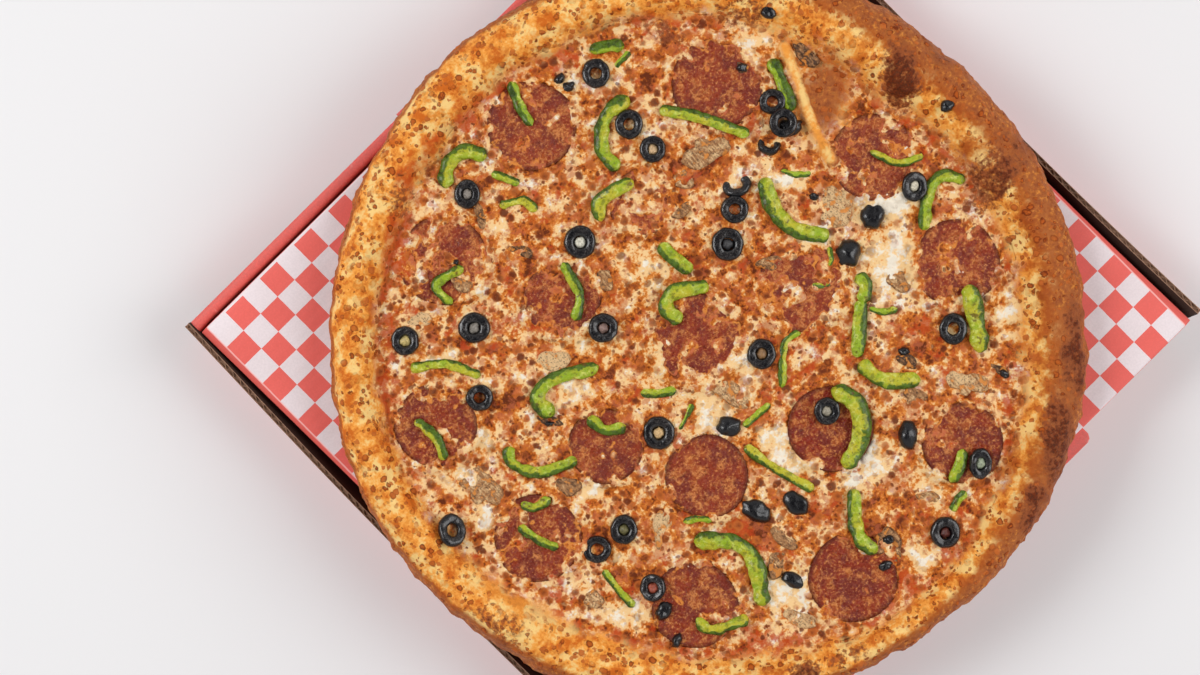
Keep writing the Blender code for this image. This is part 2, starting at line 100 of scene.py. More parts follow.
# Box.
BOARD = 0.003
LINER = 0.0004
TRAY_WIDTH = 0.406
TRAY_DEPTH = 0.404
TRAY_WALL_TOP = 0.046
TRAY_FLOOR_TOP = 0.010
CORE_WIDTH = 0.389
FRONT_ROLL_DEPTH = 0.0075
FRONT_ROLL_TOP = 0.044
FRONT_ROLL_WIDTH = 0.409
BACK_TAB_WIDTH = 0.234
BACK_TAB_REACH = 0.0085
BACK_TAB_CHAMFER = 0.0035
WALL_LEAN = 0.0087
WALL_BOW = 0.0037
WALL_CORNER_SPLAY = 0.0043
LID_WIDTH = 0.399
LID_FRONT = -0.1931
LID_BACK = 0.2019
LID_TOP = 0.047
FLAP_FOOT = 0.015
FLAP_STRIP_LEFT = (0.0018, 0.0030)
FLAP_STRIP_RIGHT = (0.0012, 0.0038)
FRONT_TAB_WIDTH = 0.059
FRONT_TAB_SHIFT = 0.007
FRONT_TAB_REACH = 0.010
LID_SAG = 0.0003
LID_SAG_REACH = 0.19
GROOVE_DEPTH = 0.0016
FLUTE_PAPER = 0.0003
WAVE_STEPS = 12.0
BOX_STATIONS = 61

# Pizza: outline and cross-section of the rim, as angle, spread and size of each swell.
PIZZA_CENTRE = (-0.0011, 0.0107)
PIZZA_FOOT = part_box("crust")[0].z
RIM_RADIUS = 0.2128
RIM_WIDTH = 0.035
RIM_HEIGHT = 0.029
DOUGH_THICKNESS = 0.012
CHEESE_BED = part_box("cheese")[0].z
CHEESE_THICKNESS = 0.005
RADIUS_SWELLS = (
    (185, 24, -0.0050), (73, 16, -0.0030), (120, 22, 0.0036), (340, 22, 0.0022), (265, 8, 0.0022),
)
WIDTH_SWELLS = ((192, 26, 0.010), (135, 25, 0.006), (80, 25, -0.013), (325, 30, -0.006))
HEIGHT_SWELLS = ((200, 30, 0.003), (90, 25, -0.003), (20, 35, -0.0015))
RIM_PROFILE = (
    (0.30, 0.00), (0.09, 0.09), (0.00, 0.33), (0.03, 0.58), (0.14, 0.82), (0.31, 0.96), (0.50, 1.00),
    (0.68, 0.93), (0.83, 0.78), (0.94, 0.61), (1.04, 0.50), (1.15, 0.43),
)
RIM_STEPS = 6
RIM_SIDES = 1150
CHEESE_SIDE = 308

# Share of the rim's width that has browned from outside, as angle, spread and size of each swell; the swells
# are largest on the side away from the key light, where they also paint shade.
ROAST_AND_SHADE_SWELLS = (
    (135, 42, 0.50), (190, 30, 0.26), (225, 26, 0.18), (95, 20, 0.20), (50, 30, 0.16), (10, 20, 0.08),
)

# Where sauce stains the inside of the rim most, as angle, spread and strength of each swell.
STAIN_SWELLS = ((318, 34, 0.45), (30, 20, 0.25), (135, 24, -0.25))

# Risen bubbles: across, down, radius in pixels and height in metres.
BUBBLES = (
    (846, 52, 18, 0.0045), (821, 84, 24, 0.0030), (898, 80, 20, 0.0046), (990, 175, 22, 0.0045),
    (502, 625, 28, 0.0025), (1050, 440, 26, 0.0025), (640, 20, 26, 0.0025), (420, 130, 30, 0.0020),
    (360, 400, 30, 0.0022), (745, 690, 28, 0.0022), (1010, 590, 26, 0.0020), (370, 250, 26, 0.0018),
)

# Ovals on the picture: across, down, half width, half height, turn in degrees and strength.
CHARRED = (
    (898, 80, 17, 34, -10, 1.0), (990, 176, 22, 40, 20, 0.75), (1003, 184, 8, 20, 20, 0.9),
    (822, 104, 26, 36, 15, 0.22), (502, 625, 34, 18, 20, 0.4), (806, 670, 18, 10, 0, 0.8),
    (1056, 440, 15, 48, 0, 1.0), (1032, 505, 14, 26, 20, 0.8), (735, 14, 34, 12, 0, 0.4),
    (668, 34, 22, 14, 20, 0.5), (400, 198, 16, 22, 0, 0.35), (1072, 350, 14, 50, 0, 0.9),
    (940, 52, 26, 18, 40, 0.35), (1020, 150, 18, 30, 40, 0.45), (850, 655, 26, 10, -20, 0.4),
)
CREAMY = (
    (440, 357, 20, 6, -20, 1.0), (486, 442, 8, 18, 0, 0.9), (456, 477, 25, 12, 0, 0.8),
    (575, 390, 20, 10, 0, 0.8), (485, 521, 10, 15, 0, 1.0), (595, 493, 12, 9, 0, 0.8),
    (620, 557, 10, 10, 0, 0.9), (627, 617, 25, 15, 0, 0.8), (713, 418, 20, 25, 0, 0.9),
    (778, 445, 22, 20, 30, 1.0), (797, 468, 16, 12, 0, 0.9), (785, 590, 25, 20, 0, 1.2),
    (872, 453, 12, 25, 0, 1.0), (851, 482, 12, 10, 0, 0.7), (864, 559, 12, 10, 0, 0.7),
    (922, 562, 15, 15, 0, 0.9), (976, 443, 8, 10, 0, 0.7), (560, 90, 22, 14, 0, 0.8),
    (885, 200, 32, 22, 0, 1.2), (892, 262, 26, 34, 0, 1.1), (905, 152, 14, 7, -15, 1.1),
    (790, 180, 16, 10, 0, 0.9), (640, 130, 12, 16, 0, 0.6), (645, 265, 30, 26, 0, 0.5),
    (608, 66, 14, 20, 0, 0.5), (757, 40, 26, 26, 0, 0.6), (590, 345, 30, 14, 0, 0.6),
    (660, 362, 16, 30, 0, 0.6), (745, 372, 16, 30, 0, 0.6), (1010, 318, 14, 26, 0, 0.8),
    (815, 240, 16, 12, 0, 0.8), (938, 480, 16, 20, 0, 0.6),
)
SAUCY = (
    (396, 250, 14, 56, 8, 0.9), (408, 178, 12, 30, 34, 0.75), (388, 352, 11, 44, -4, 0.7),
    (470, 108, 30, 12, -40, 0.7), (545, 64, 44, 12, -12, 0.7), (430, 150, 10, 24, 20, 0.7),
    (388, 330, 9, 30, 0, 0.7), (905, 590, 34, 14, -35, 1.0), (960, 545, 14, 22, 40, 0.8),
    (770, 640, 40, 10, 0, 0.9), (640, 610, 16, 22, 0, 0.6), (700, 440, 14, 20, 60, 0.5),
    (815, 505, 26, 12, 20, 0.6), (1010, 400, 8, 34, 0, 0.6), (930, 330, 14, 26, 0, 0.5),
    (510, 330, 22, 20, 0, 0.5), (735, 540, 20, 22, 0, 0.9), (580, 500, 14, 14, 0, 0.4),
    (800, 350, 22, 30, 0, 0.4), (470, 470, 14, 14, 0, 0.3), (560, 590, 14, 20, 0, 0.5),
)
# Ovals where the cheese is painted darker: painted shade round the toppings.
DARKENED = (
    (640, 330, 60, 80, 0, 0.40), (730, 270, 50, 60, 0, 0.35), (780, 560, 40, 34, 20, 0.55),
    (655, 500, 36, 20, 0, 0.45), (900, 520, 30, 30, 0, 0.4), (500, 410, 34, 24, 0, 0.4),
    (935, 360, 34, 26, 0, 0.5), (520, 250, 32, 26, 0, 0.4), (610, 180, 34, 26, 0, 0.3),
    (700, 170, 30, 28, 0, 0.45), (440, 455, 26, 26, 0, 0.45), (840, 350, 26, 20, 0, 0.3),
    (600, 545, 30, 40, 0, 0.5), (650, 640, 26, 16, 0, 0.5),
)
TOASTED = (
    (822, 96, 27, 40, 15, 1.0), (862, 112, 12, 34, 20, 0.5), (985, 150, 34, 52, 25, 0.45),
    (700, 22, 60, 10, 0, 0.3), (930, 60, 30, 16, 40, 0.4), (1010, 470, 16, 30, 10, 0.35),
    (745, 668, 60, 10, 0, 0.3), (1050, 300, 12, 40, 0, 0.3), (408, 420, 12, 44, -14, 0.3),
    (450, 530, 14, 44, -38, 0.3), (1035, 560, 22, 30, 35, 0.4), (900, 640, 50, 12, -20, 0.3),
)

# Hollows between the bubbles: ovals with a depth in metres in place of the strength.
DENTS = ((822, 100, 20, 36, 15, 0.0036), (925, 128, 16, 14, 0, 0.0018), (866, 100, 8, 26, 10, 0.0022))
SMOOTH = (
    (518, 592, 26, 44, -45, 0.8), (846, 45, 24, 15, 0, 0.5), (1000, 250, 10, 30, 0, 0.5),
    (390, 360, 10, 30, 0, 0.4),
)

# Oval of bare crust in the deepest hollow.
HOLLOW = (824, 98, 28, 42, 15)

# Thin strand of dough that crosses the hollow: its pixels, and its width and height.
STRAND = ((785, 46), (798, 78), (813, 123), (830, 159))
STRAND_WIDTH = 0.0034
STRAND_HEIGHT = 0.0030

# Share of each pepperoni slice that cheese covers, and how red it is, in the order of its nodes.
PEPPERONI_LOOKS = (
    (0.34, 0.4), (0.36, 0.4), (0.50, 0.5), (0.75, 0.4), (0.48, 0.5), (0.44, 0.6), (0.50, 0.4), (0.36, 0.2),
    (0.42, 0.5), (0.46, 0.5), (0.16, 0.5), (0.10, 0.9), (0.34, 0.4), (0.42, 0.5), (0.34, 0.5), (0.22, 0.7),
    (0.26, 0.5),
)

SLICE_THICKNESS = 0.0019

# What shows in the holes of some olives: the node's number, screen colour.
OLIVE_FILLINGS = (
    (3, (222, 184, 136)), (5, (226, 220, 200)), (6, (150, 142, 132)), (7, (214, 190, 120)),
    (8, (150, 120, 110)), (13, (232, 222, 196)), (15, (150, 110, 70)), (16, (170, 160, 140)),
    (17, (232, 190, 132)), (18, (170, 180, 150)), (19, (96, 40, 30)), (4, (150, 140, 130)),
    (12, (60, 58, 60)), (22, (170, 80, 56)), (21, (120, 112, 70)),
)

# Olives half sunk in the cheese: across, down, half width, half height, tilt in degrees, and its direction.
SMALL_OLIVES = (
    (773, 101, 14, 13, 0, 0), (770, 147, 12, 11, 35, 0), (738, 187, 15, 13, 30, 20),
    (597, 550, 15, 14, 0, 0),
)

FILLING_SIZE = (0.0034, 0.0032, 0.0038)
SMALL_OLIVE_SINK = 0.0016
SMALL_OLIVE_HEIGHT = 0.0046
OLIVE_UNEVENNESS = 0.0016

# Small mound: points once round, and its section as shares of its radius and height.
PEBBLE_SIDES = 28
PEBBLE_PROFILE = (
    (0.7, 0.0), (0.95, 0.08), (1.0, 0.24), (0.94, 0.48), (0.82, 0.68), (0.64, 0.84), (0.44, 0.94), (0.2, 1.0))

# Olive ends with no hole in sight: across, down, half width, half height, turn.
OLIVE_CAPS = (
    (873, 216, 12, 14, 0), (849, 253, 13, 15, -20), (729, 427, 13, 11, 10), (909, 436, 10, 15, 0),
    (757, 511, 17, 11, -20), (797, 504, 14, 11, -40), (794, 581, 12, 8, -30), (790, 128, 14, 8, 20),
)

# Pepper strips: width in pixels, how much of the skin shows (0 flesh up, 1 skin up), how ripe its
# flesh is (0 green, 1 yellow), then the places along the strip. The first group lies on pepperoni.
HIGH_PEPPERS = (
    (10, 0.8, 0.0, (511, 82), (519, 105), (531, 125)),
    (14, 0.2, 0.7, (633, 181), (601, 200), (600, 220)),
    (10, 0.3, 0.3, (463, 267), (436, 285), (451, 304)),
    (10, 0.5, 0.2, (563, 263), (577, 288), (580, 301), (575, 320)),
    (11, 0.4, 0.6, (660, 109), (698, 117), (749, 134)),
    (7, 0.3, 0.8, (871, 151), (898, 163), (924, 156)),
    (18, 0.2, 0.6, (968, 286), (976, 315), (982, 352)),
    (15, 0.2, 0.5, (709, 286), (675, 292), (666, 308), (681, 322)),
    (12, 0.5, 0.3, (588, 418), (606, 430), (626, 427)),
    (17, 0.3, 0.6, (833, 388), (857, 405), (861, 437), (845, 468)),
    (15, 0.2, 0.4, (854, 490), (858, 535), (877, 552)),
    (9, 0.3, 0.5, (521, 504), (535, 508), (550, 498)),
    (9, 0.6, 0.4, (519, 527), (540, 541), (558, 548)),
    (11, 0.2, 0.7, (697, 619), (712, 630), (749, 619)),
    (11, 0.4, 0.3, (964, 450), (960, 466), (952, 482)),
    (10, 0.7, 0.6, (416, 420), (436, 438), (445, 460)),
)
LOW_PEPPERS = (
    (15, 0.3, 0.5, (445, 187), (448, 164), (464, 151), (486, 156)),
    (15, 0.4, 0.4, (629, 97), (608, 113), (601, 136), (604, 153), (618, 168)),
    (13, 0.9, 0.0, (590, 49), (608, 45), (624, 44)),
    (8, 0.3, 0.3, (491, 173), (505, 177), (519, 183)),
    (9, 0.2, 0.8, (500, 205), (523, 200), (536, 211)),
    (13, 0.9, 0.0, (772, 58), (781, 78), (793, 110)),
    (17, 0.3, 0.5, (764, 178), (774, 208), (795, 229), (829, 236)),
    (6, 0.5, 0.2, (782, 170), (796, 174), (812, 173)),
    (13, 0.3, 0.3, (966, 180), (945, 175), (930, 190), (924, 230)),
    (15, 0.4, 0.3, (858, 275), (867, 285), (863, 302)),
    (14, 0.3, 0.2, (862, 300), (860, 330), (858, 357)),
    (7, 0.4, 0.3, (870, 308), (884, 312), (898, 309)),
    (16, 0.1, 0.6, (860, 363), (884, 380), (921, 380)),
    (13, 0.3, 0.3, (660, 244), (675, 259), (692, 271)),
    (8, 0.5, 0.4, (800, 331), (785, 345), (783, 388)),
    (15, 0.3, 0.3, (598, 367), (552, 380), (537, 399), (553, 416)),
    (10, 0.2, 0.6, (410, 369), (445, 364), (480, 376)),
    (12, 0.4, 0.4, (508, 447), (512, 464), (540, 473), (577, 460)),
    (9, 0.5, 0.4, (641, 393), (658, 394), (676, 390)),
    (5, 0.8, 0.3, (693, 404), (687, 417), (680, 430)),
    (7, 0.3, 0.3, (744, 427), (757, 416), (771, 404)),
    (10, 0.3, 1.0, (745, 447), (773, 467), (814, 490)),
    (8, 0.4, 0.4, (604, 571), (616, 588), (634, 608)),
    (17, 0.3, 0.4, (695, 541), (735, 543), (755, 563), (764, 606)),
    (7, 0.4, 0.2, (684, 522), (699, 519), (712, 521)),
    (9, 0.6, 0.4, (967, 492), (960, 500), (953, 512)),
    (6, 0.8, 0.2, (615, 66), (623, 58), (630, 50)),
    (5, 0.5, 0.4, (830, 246), (832, 258), (830, 266)),
    (5, 0.6, 0.3, (812, 284), (822, 286), (832, 283)),
)
PEPPER_HEIGHT = 0.5
PEPPER_SPACING = 0.0012
PEPPER_SIDES = 16
PEPPER_SINK = 0.0008
PEPPER_UNEVENNESS = 0.0018

# Mushroom slices: half width and half height in pixels, turn in degrees, darkness from 0 to 1, and
# how much of the outline is a stem rather than a cap.
MUSHROOMS = (
    (684, 179, 11, 10, 0, 0.5, 0), (836, 208, 14, 25, 10, 0.25, 0), (806, 54, 16, 8, 45, 0.8, 0),
    (521, 251, 14, 6, 22, 0.8, 0), (480, 216, 5, 16, -18, 0.7, 0), (606, 279, 10, 10, 0, 0.6, 0),
    (731, 393, 23, 11, 20, 0.35, 0), (481, 489, 24, 19, 30, 0.45, 1), (554, 361, 15, 12, 0, 0.05, 0),
    (420, 320, 12, 8, 0, 0.1, 0), (550, 421, 16, 5, 18, 0.9, 0), (662, 529, 10, 17, 5, 0.15, 0),
    (777, 565, 9, 14, 20, 0.6, 0), (785, 538, 15, 9, 30, 0.6, 0), (967, 384, 20, 14, 10, 0.3, 1),
    (1001, 370, 10, 5, 30, 0.9, 0), (908, 361, 11, 7, 40, 0.9, 0), (915, 397, 14, 9, 20, 0.6, 1),
    (900, 281, 14, 10, 0, 0.5, 0), (594, 600, 10, 10, 0, 0.4, 0), (568, 487, 12, 11, 0, 0.6, 0),
    (705, 150, 24, 16, 160, 0.45, 1), (683, 210, 14, 6, 150, 0.6, 0), (888, 545, 19, 13, 60, 0.6, 1),
    (462, 285, 13, 6, 20, 0.5, 0), (771, 263, 13, 7, 160, 0.6, 0), (742, 67, 6, 6, 0, 1.0, 0),
    (800, 620, 16, 9, 20, 0.3, 0), (930, 498, 12, 6, 10, 0.4, 0),
)
MUSHROOM_HEIGHT = 0.0032
MUSHROOM_SINK = 0.0020
MUSHROOM_PROFILE = (
    (0.9, 0), (1, 0.25), (1, 0.7), (0.94, 0.98), (0.8, 1), (0.6, 0.9), (0.4, 0.84), (0.2, 0.82))
SCRAP_SINK = 0.0008

# Loose scraps of olive and char: across, down, half width, half height, turn.
SCRAPS = (
    (559, 78, 5, 7, -40), (568, 86, 7, 5, 30), (944, 108, 7, 6, 10), (742, 67, 6, 5, 0), (768, 14, 8, 7, 0),
    (664, 611, 7, 10, -30), (677, 641, 5, 8, -20), (786, 125, 8, 7, 0), (1006, 374, 6, 4, -40),
    (905, 352, 6, 5, 0), (886, 566, 7, 5, 30), (889, 540, 6, 5, 0), (456, 262, 3, 3, 0),
    (815, 196, 5, 4, 0), (549, 424, 5, 3, 10),
)


def paint(red, green, blue):
    """Linear colour of a screen colour from 0 to 255."""
    return tuple(((part / 255 + 0.055) / 1.055) ** 2.4 for part in (red, green, blue))


def size_property(name, description, default):
    """Length that a user may change."""
    return bpy.props.FloatProperty(
        name=name, description=description, default=default, min=0.0, unit="LENGTH", precision=5)


def power_property(name, description, default):
    """Power of a light that a user may change."""
    return bpy.props.FloatProperty(name=name, description=description, default=default, min=0.0, unit="POWER")


def share_property(name, description, default, most=1.0):
    """Share or factor that a user may change."""
    return bpy.props.FloatProperty(
        name=name, description=description, default=default, min=0.0, max=most, subtype="FACTOR")


def colour_property(name, description, *screen):
    """Colour that a user may change, from its screen colour."""
    return bpy.props.FloatVectorProperty(
        name=name, description=description, default=paint(*screen), size=3, min=0.0, max=1.0, subtype="COLOR")


class PizzaBoxSettings(bpy.types.PropertyGroup):
    """Sizes and colours of the cardboard box."""

    check_columns: bpy.props.IntProperty(
        name="Check columns", description="Squares of the printed check across the lid", default=29, min=1)
    check_rows: bpy.props.IntProperty(
        name="Check rows", description="Squares of the printed check from front to back", default=27, min=1)
    flute_pitch: size_property("Flute pitch", "Length of one wave of the corrugated board", 0.0064)
    print_colour: colour_property("Print", "Red of the printed check and of the outside", 234, 98, 88)
    paper_colour: colour_property("Paper", "White paper between the printed squares", 240, 226, 229)
    crease_colour: colour_property("Crease", "Print where the board is creased", 250, 190, 184)
    kraft_colour: colour_property("Kraft", "Bare brown board inside and at the cut edges", 160, 122, 98)


class PizzaBakeSettings(bpy.types.PropertyGroup):
    """Sizes and colours of the baked crust and of the cheese."""

    curd_size: size_property("Curd size", "Width of the lumps of melted cheese", 0.0078)
    curd_height: size_property("Curd height", "Height of the lumps of melted cheese", 0.0030)
    blotch_size: size_property("Blotch size", "Spacing of the browned bubbles of the cheese", 0.0072)
    spot_size: size_property("Blister size", "Spacing of the browned blisters", 0.0052)
    speck_size: size_property("Speck size", "Spacing of the smallest browned specks", 0.0031)
    lump_size: size_property("Lump size", "Width of the soft lumps of the dough", 0.021)
    lump_height: size_property("Lump height", "Height of the soft lumps of the dough", 0.0042)
    blister_height: size_property("Blister height", "Height of a browned blister", 0.00055)
    crust_light: colour_property("Light crust", "Palest gold on top of the rim", 255, 212, 134)
    crust_gold: colour_property("Golden crust", "Gold of most of the rim", 250, 166, 70)
    crust_deep: colour_property("Deep crust", "Orange in the hollows of the rim", 214, 108, 28)
    crust_side: colour_property("Crust side", "Brown of the rim's lower side", 172, 96, 48)
    toast: colour_property("Toast", "Brown of the well baked rim", 168, 78, 26)
    blister_light: colour_property("Light blister", "Orange inside the least browned blisters", 200, 106, 44)
    blister: colour_property("Blister", "Brown inside a baked blister", 186, 88, 26)
    blister_core: colour_property("Blister core", "Brown in the middle of a cheese bubble", 106, 42, 16)
    blister_edge: colour_property("Blister edge", "Dark brown round a baked blister", 118, 44, 10)
    scorch: colour_property("Scorch", "Purple brown of the darkest bubbles", 146, 78, 44)
    char: colour_property("Char", "Darkest brown of the rim", 72, 34, 20)
    cream: colour_property("Cream", "Pale melted cheese", 252, 210, 150)
    white: colour_property("White", "Thick cheese that has not browned", 252, 240, 220)
    gold: colour_property("Gold", "Lightly browned cheese", 232, 146, 62)
    amber: colour_property("Amber", "Browned cheese in the hollows", 200, 104, 32)
    # Umber is the cheese's darkest brown and painted shade in the creases between the curds.
    umber_and_crease_shade: colour_property("Umber", "Darkest cheese in the creases", 106, 44, 12)
    rosy: colour_property("Rosy cheese", "Cheese that lets the sauce under it show through", 198, 104, 66)
    stain: colour_property("Stain", "Sauce that has soaked into the inside of the rim", 204, 82, 26)
    sauce: colour_property("Sauce", "Tomato sauce that shows between the cheese", 192, 68, 22)


class PizzaToppingSettings(bpy.types.PropertyGroup):
    """Colours of the toppings."""

    meat: colour_property("Meat", "Pepperoni", 150, 64, 34)
    meat_red: colour_property("Red meat", "The reddest pepperoni", 136, 40, 22)
    meat_dark: colour_property("Dark meat", "Darker patches of the pepperoni", 116, 44, 34)
    meat_tan: colour_property("Tan meat", "Lighter patches of the pepperoni", 180, 92, 38)
    meat_edge: colour_property("Meat edge", "Baked edge of the pepperoni", 84, 28, 12)
    meat_fat: colour_property("Fat", "Flecks and ridges of fat in the pepperoni", 226, 150, 84)
    olive_skin: colour_property("Olive skin", "Outside of a black olive", 15, 14, 18)
    olive_flesh: colour_property("Olive flesh", "Cut face of a black olive", 34, 31, 32)
    olive_pale: colour_property("Pale olive", "Pale grain of the cut face", 96, 88, 84)
    pepper_flesh: colour_property("Pepper flesh", "Flesh of a green pepper", 150, 176, 36)
    pepper_ripe: colour_property("Ripe pepper", "Yellow flesh of a green pepper", 196, 186, 46)
    # Pale pepper is a painted highlight, laid in patches on the flesh.
    pepper_pale_highlight: colour_property("Pale pepper", "Palest flesh of a green pepper", 218, 224, 112)
    pepper_dull: colour_property("Dull pepper", "Darkest flesh of a green pepper", 102, 110, 26)
    pepper_skin: colour_property("Pepper skin", "Skin of a green pepper", 84, 112, 24)
    pepper_deep: colour_property("Deep pepper skin", "Darkest skin of a green pepper", 50, 70, 10)
    pepper_scorch: colour_property("Pepper scorch", "Baked patches of a green pepper", 96, 70, 24)
    mushroom_pale: colour_property("Pale mushroom", "Flesh of a mushroom", 226, 188, 138)
    mushroom_tan: colour_property("Tan mushroom", "Baked flesh of a mushroom", 172, 122, 78)
    mushroom_dark: colour_property("Dark mushroom", "Gills and dried edges of a mushroom", 80, 54, 38)


class PizzaStageSettings(bpy.types.PropertyGroup):
    """Floor and light."""

    floor_size: size_property("Floor size", "Side of the pale floor", 6.0)
    floor_colour: colour_property("Floor", "Pale floor under the box", 236, 235, 236)
    key_power: power_property("Key light", "Power of the large soft light", 33.0)
    fill_power: power_property("Fill light", "Power of the light from the other side", 30.0)
    sky: share_property("Sky", "Strength of the even light from half way up all round", 0.60, 4.0)


class Recipe:
    """Adds and joins nodes in one tree, for a finish or for a shape."""

    def __init__(self, tree):
        self.tree = tree
        self.shapes = tree.bl_idname == "GeometryNodeTree"

    def add(self, kind, feeds=(), **settings):
        """One node with its settings and what feeds its inputs, by their names or numbers."""
        node = self.tree.nodes.new(kind)
        for name, value in settings.items():
            setattr(node, name, value)
        for name, value in dict(feeds).items():
            self.feed(node.inputs[name], value)
        return node

    def feed(self, socket, value):
        """Join a socket to an input, or set the input to a value."""
        if isinstance(value, bpy.types.NodeSocket):
            self.tree.links.new(value, socket)
        elif socket.type == "RGBA":
            socket.default_value = (*value, 1)
        else:
            socket.default_value = value

    def math(self, operation, *values, clamp=False):
        """Result of arithmetic on numbers."""
        node = self.add("ShaderNodeMath", enumerate(values), operation=operation, use_clamp=clamp)
        return node.outputs[0]

    def vector(self, operation, *values):
        """Result of arithmetic on vectors."""
        return self.add("ShaderNodeVectorMath", enumerate(values), operation=operation).outputs[0]

    def scaled(self, vector, factor):
        """Vector times a number."""
        node = self.add("ShaderNodeVectorMath", {0: vector, "Scale": factor}, operation="SCALE")
        return node.outputs[0]

    def ease(self, value, low, high, start=0.0, end=1.0):
        """Soft step from start, where the value is low, to end, where it is high."""
        feeds = {0: value, 1: low, 2: high, 3: start, 4: end}
        return self.add("ShaderNodeMapRange", feeds, interpolation_type="SMOOTHSTEP").outputs[0]

    def mix(self, factor, first, second, blend="MIX"):
        """Colour between two colours."""
        node = self.add("ShaderNodeMix", {0: factor, 6: first, 7: second}, data_type="RGBA", blend_type=blend)
        return node.outputs[2]

    def between(self, factor, first, second):
        """Number between two numbers."""
        return self.add("ShaderNodeMix", {0: factor, 2: first, 3: second}, data_type="FLOAT").outputs[0]

    def times(self, first, second):
        """Product of two numbers."""
        return self.math("MULTIPLY", first, second)

    def one_over(self, size):
        """Scale of a texture whose features have a size, given as a number or by a node."""
        return self.math("DIVIDE", 1.0, size) if isinstance(size, bpy.types.NodeSocket) else 1 / size

    def varied(self, base, noise, amount):
        """Number moved up and down by a noise about one half."""
        return self.math("MULTIPLY_ADD", self.math("SUBTRACT", noise, 0.5), amount, base)

    def over(self, base, colour, value, low, high, start=0.0, end=1.0):
        """Colour laid over a base where a value steps softly up."""
        return self.mix(self.ease(value, low, high, start, end), base, colour)

    def noise(self, place, size, detail=2.0, roughness=0.5):
        """Soft noise about one half, whose lumps are about as wide as the size."""
        return self.noise_node(place, size, detail, roughness).outputs[0]

    def noise_node(self, place, size, detail=2.0, roughness=0.5):
        """Noise node, for its number and its colour."""
        scale = self.one_over(size)
        feeds = {"Vector": place, "Scale": scale, "Detail": detail, "Roughness": roughness}
        return self.add("ShaderNodeTexNoise", feeds)

    def drift(self, place, size):
        """Noise as a vector about nothing."""
        return self.vector("SUBTRACT", self.noise_node(place, size).outputs[1], (0.5, 0.5, 0.5))

    def wobbled(self, place, size, amount):
        """Place moved about by noise, so that round shapes come out uneven."""
        return self.vector("ADD", place, self.scaled(self.drift(place, size), amount))

    def shaken(self, geometry, size, amount):
        """Geometry with its points moved about by noise."""
        place = self.add("GeometryNodeInputPosition").outputs[0]
        offset = self.scaled(self.drift(place, size), amount)
        return self.add("GeometryNodeSetPosition", {"Geometry": geometry, "Offset": offset}).outputs[0]

    def reading(self, name, vector=False):
        """Value kept on the piece's points under a name."""
        if self.shapes:
            kind = "FLOAT_VECTOR" if vector else "FLOAT"
            return self.add("GeometryNodeInputNamedAttribute", {"Name": name}, data_type=kind).outputs[0]
        return self.add("ShaderNodeAttribute", attribute_name=name).outputs["Vector" if vector else "Fac"]

    def keep(self, geometry, name, value, kind="FLOAT"):
        """Geometry with a value kept on its points under a name."""
        node = self.add(
            "GeometryNodeStoreNamedAttribute", {"Geometry": geometry, "Name": name, "Value": value},
            data_type=kind, domain="POINT")
        return node.outputs[0]

    def blisters(self, place, size, share, low, high):
        """Distance to the nearest blister in radii, 0 at its middle and 1 at its edge, and its own draw."""
        scale = self.one_over(size)
        cells = self.add("ShaderNodeTexVoronoi", {"Vector": place, "Scale": scale})
        draws = self.add("ShaderNodeSeparateXYZ", {0: cells.outputs["Color"]})
        radius = self.between(draws.outputs[1], low, high)
        near = self.math("DIVIDE", cells.outputs["Distance"], radius)
        absent = self.math("GREATER_THAN", draws.outputs[0], share)
        return self.math("MULTIPLY_ADD", absent, 9.0, near), draws.outputs[2]


def new_finish(name):
    """Fresh material, its recipe and its shader."""
    finish = bpy.data.materials.new(name)
    finish.use_nodes = True
    recipe = Recipe(finish.node_tree)
    return finish, recipe, finish.node_tree.nodes["Principled BSDF"]


def object_place(recipe):
    """Place of a point in the frame."""
    return recipe.add("ShaderNodeTexCoord").outputs["Object"]


def surfaced(recipe, shader, colour, roughness, specular=None):
    """Colour and roughness of a finish, and its constant strength of reflection."""
    recipe.feed(shader.inputs["Base Color"], colour)
    recipe.feed(shader.inputs["Roughness"], roughness)
    if specular is not None:
        shader.inputs["Specular IOR Level"].default_value = specular


def bumped(recipe, shader, height, distance, strength=1.0):
    """Fine relief of a finish."""
    bump = recipe.add("ShaderNodeBump", {"Height": height, "Distance": distance, "Strength": strength})
    recipe.feed(shader.inputs["Normal"], bump.outputs[0])


def shape_tree(name, inputs):
    """Empty tree for a shape: its recipe, its input node and its output node, with named inputs."""
    tree = bpy.data.node_groups.new(name, "GeometryNodeTree")
    tree.interface.new_socket("Geometry", in_out="INPUT", socket_type="NodeSocketGeometry")
    for socket_name, kind in inputs:
        tree.interface.new_socket(socket_name, in_out="INPUT", socket_type="NodeSocket" + kind)
    tree.interface.new_socket("Geometry", in_out="OUTPUT", socket_type="NodeSocketGeometry")
    recipe = Recipe(tree)
    return recipe, recipe.add("NodeGroupInput").outputs, recipe.add("NodeGroupOutput").inputs


def finish_shape(recipe, geometry, finish, out):
    """End of each shape's tree: real geometry with its finish."""
    real = recipe.add("GeometryNodeRealizeInstances", {0: geometry}).outputs[0]
    dressed = recipe.add("GeometryNodeSetMaterial", {"Geometry": real, "Material": finish})
    recipe.feed(out[0], dressed.outputs[0])


def grown(piece, recipe, values):
    """Run a shape's tree on a piece with its named inputs and keep the result as the piece's plain mesh."""
    modifier = piece.modifiers.new("shape", "NODES")
    modifier.node_group = recipe.tree
    for item in recipe.tree.interface.items_tree:
        if item.item_type == "SOCKET" and item.in_out == "INPUT" and item.name in values:
            modifier[item.identifier] = values[item.name]
    evaluated = piece.evaluated_get(bpy.context.evaluated_depsgraph_get())
    plain = bpy.data.meshes.new_from_object(evaluated)
    piece.modifiers.remove(modifier)
    piece.data = plain
    plain.name = piece.name
    return piece


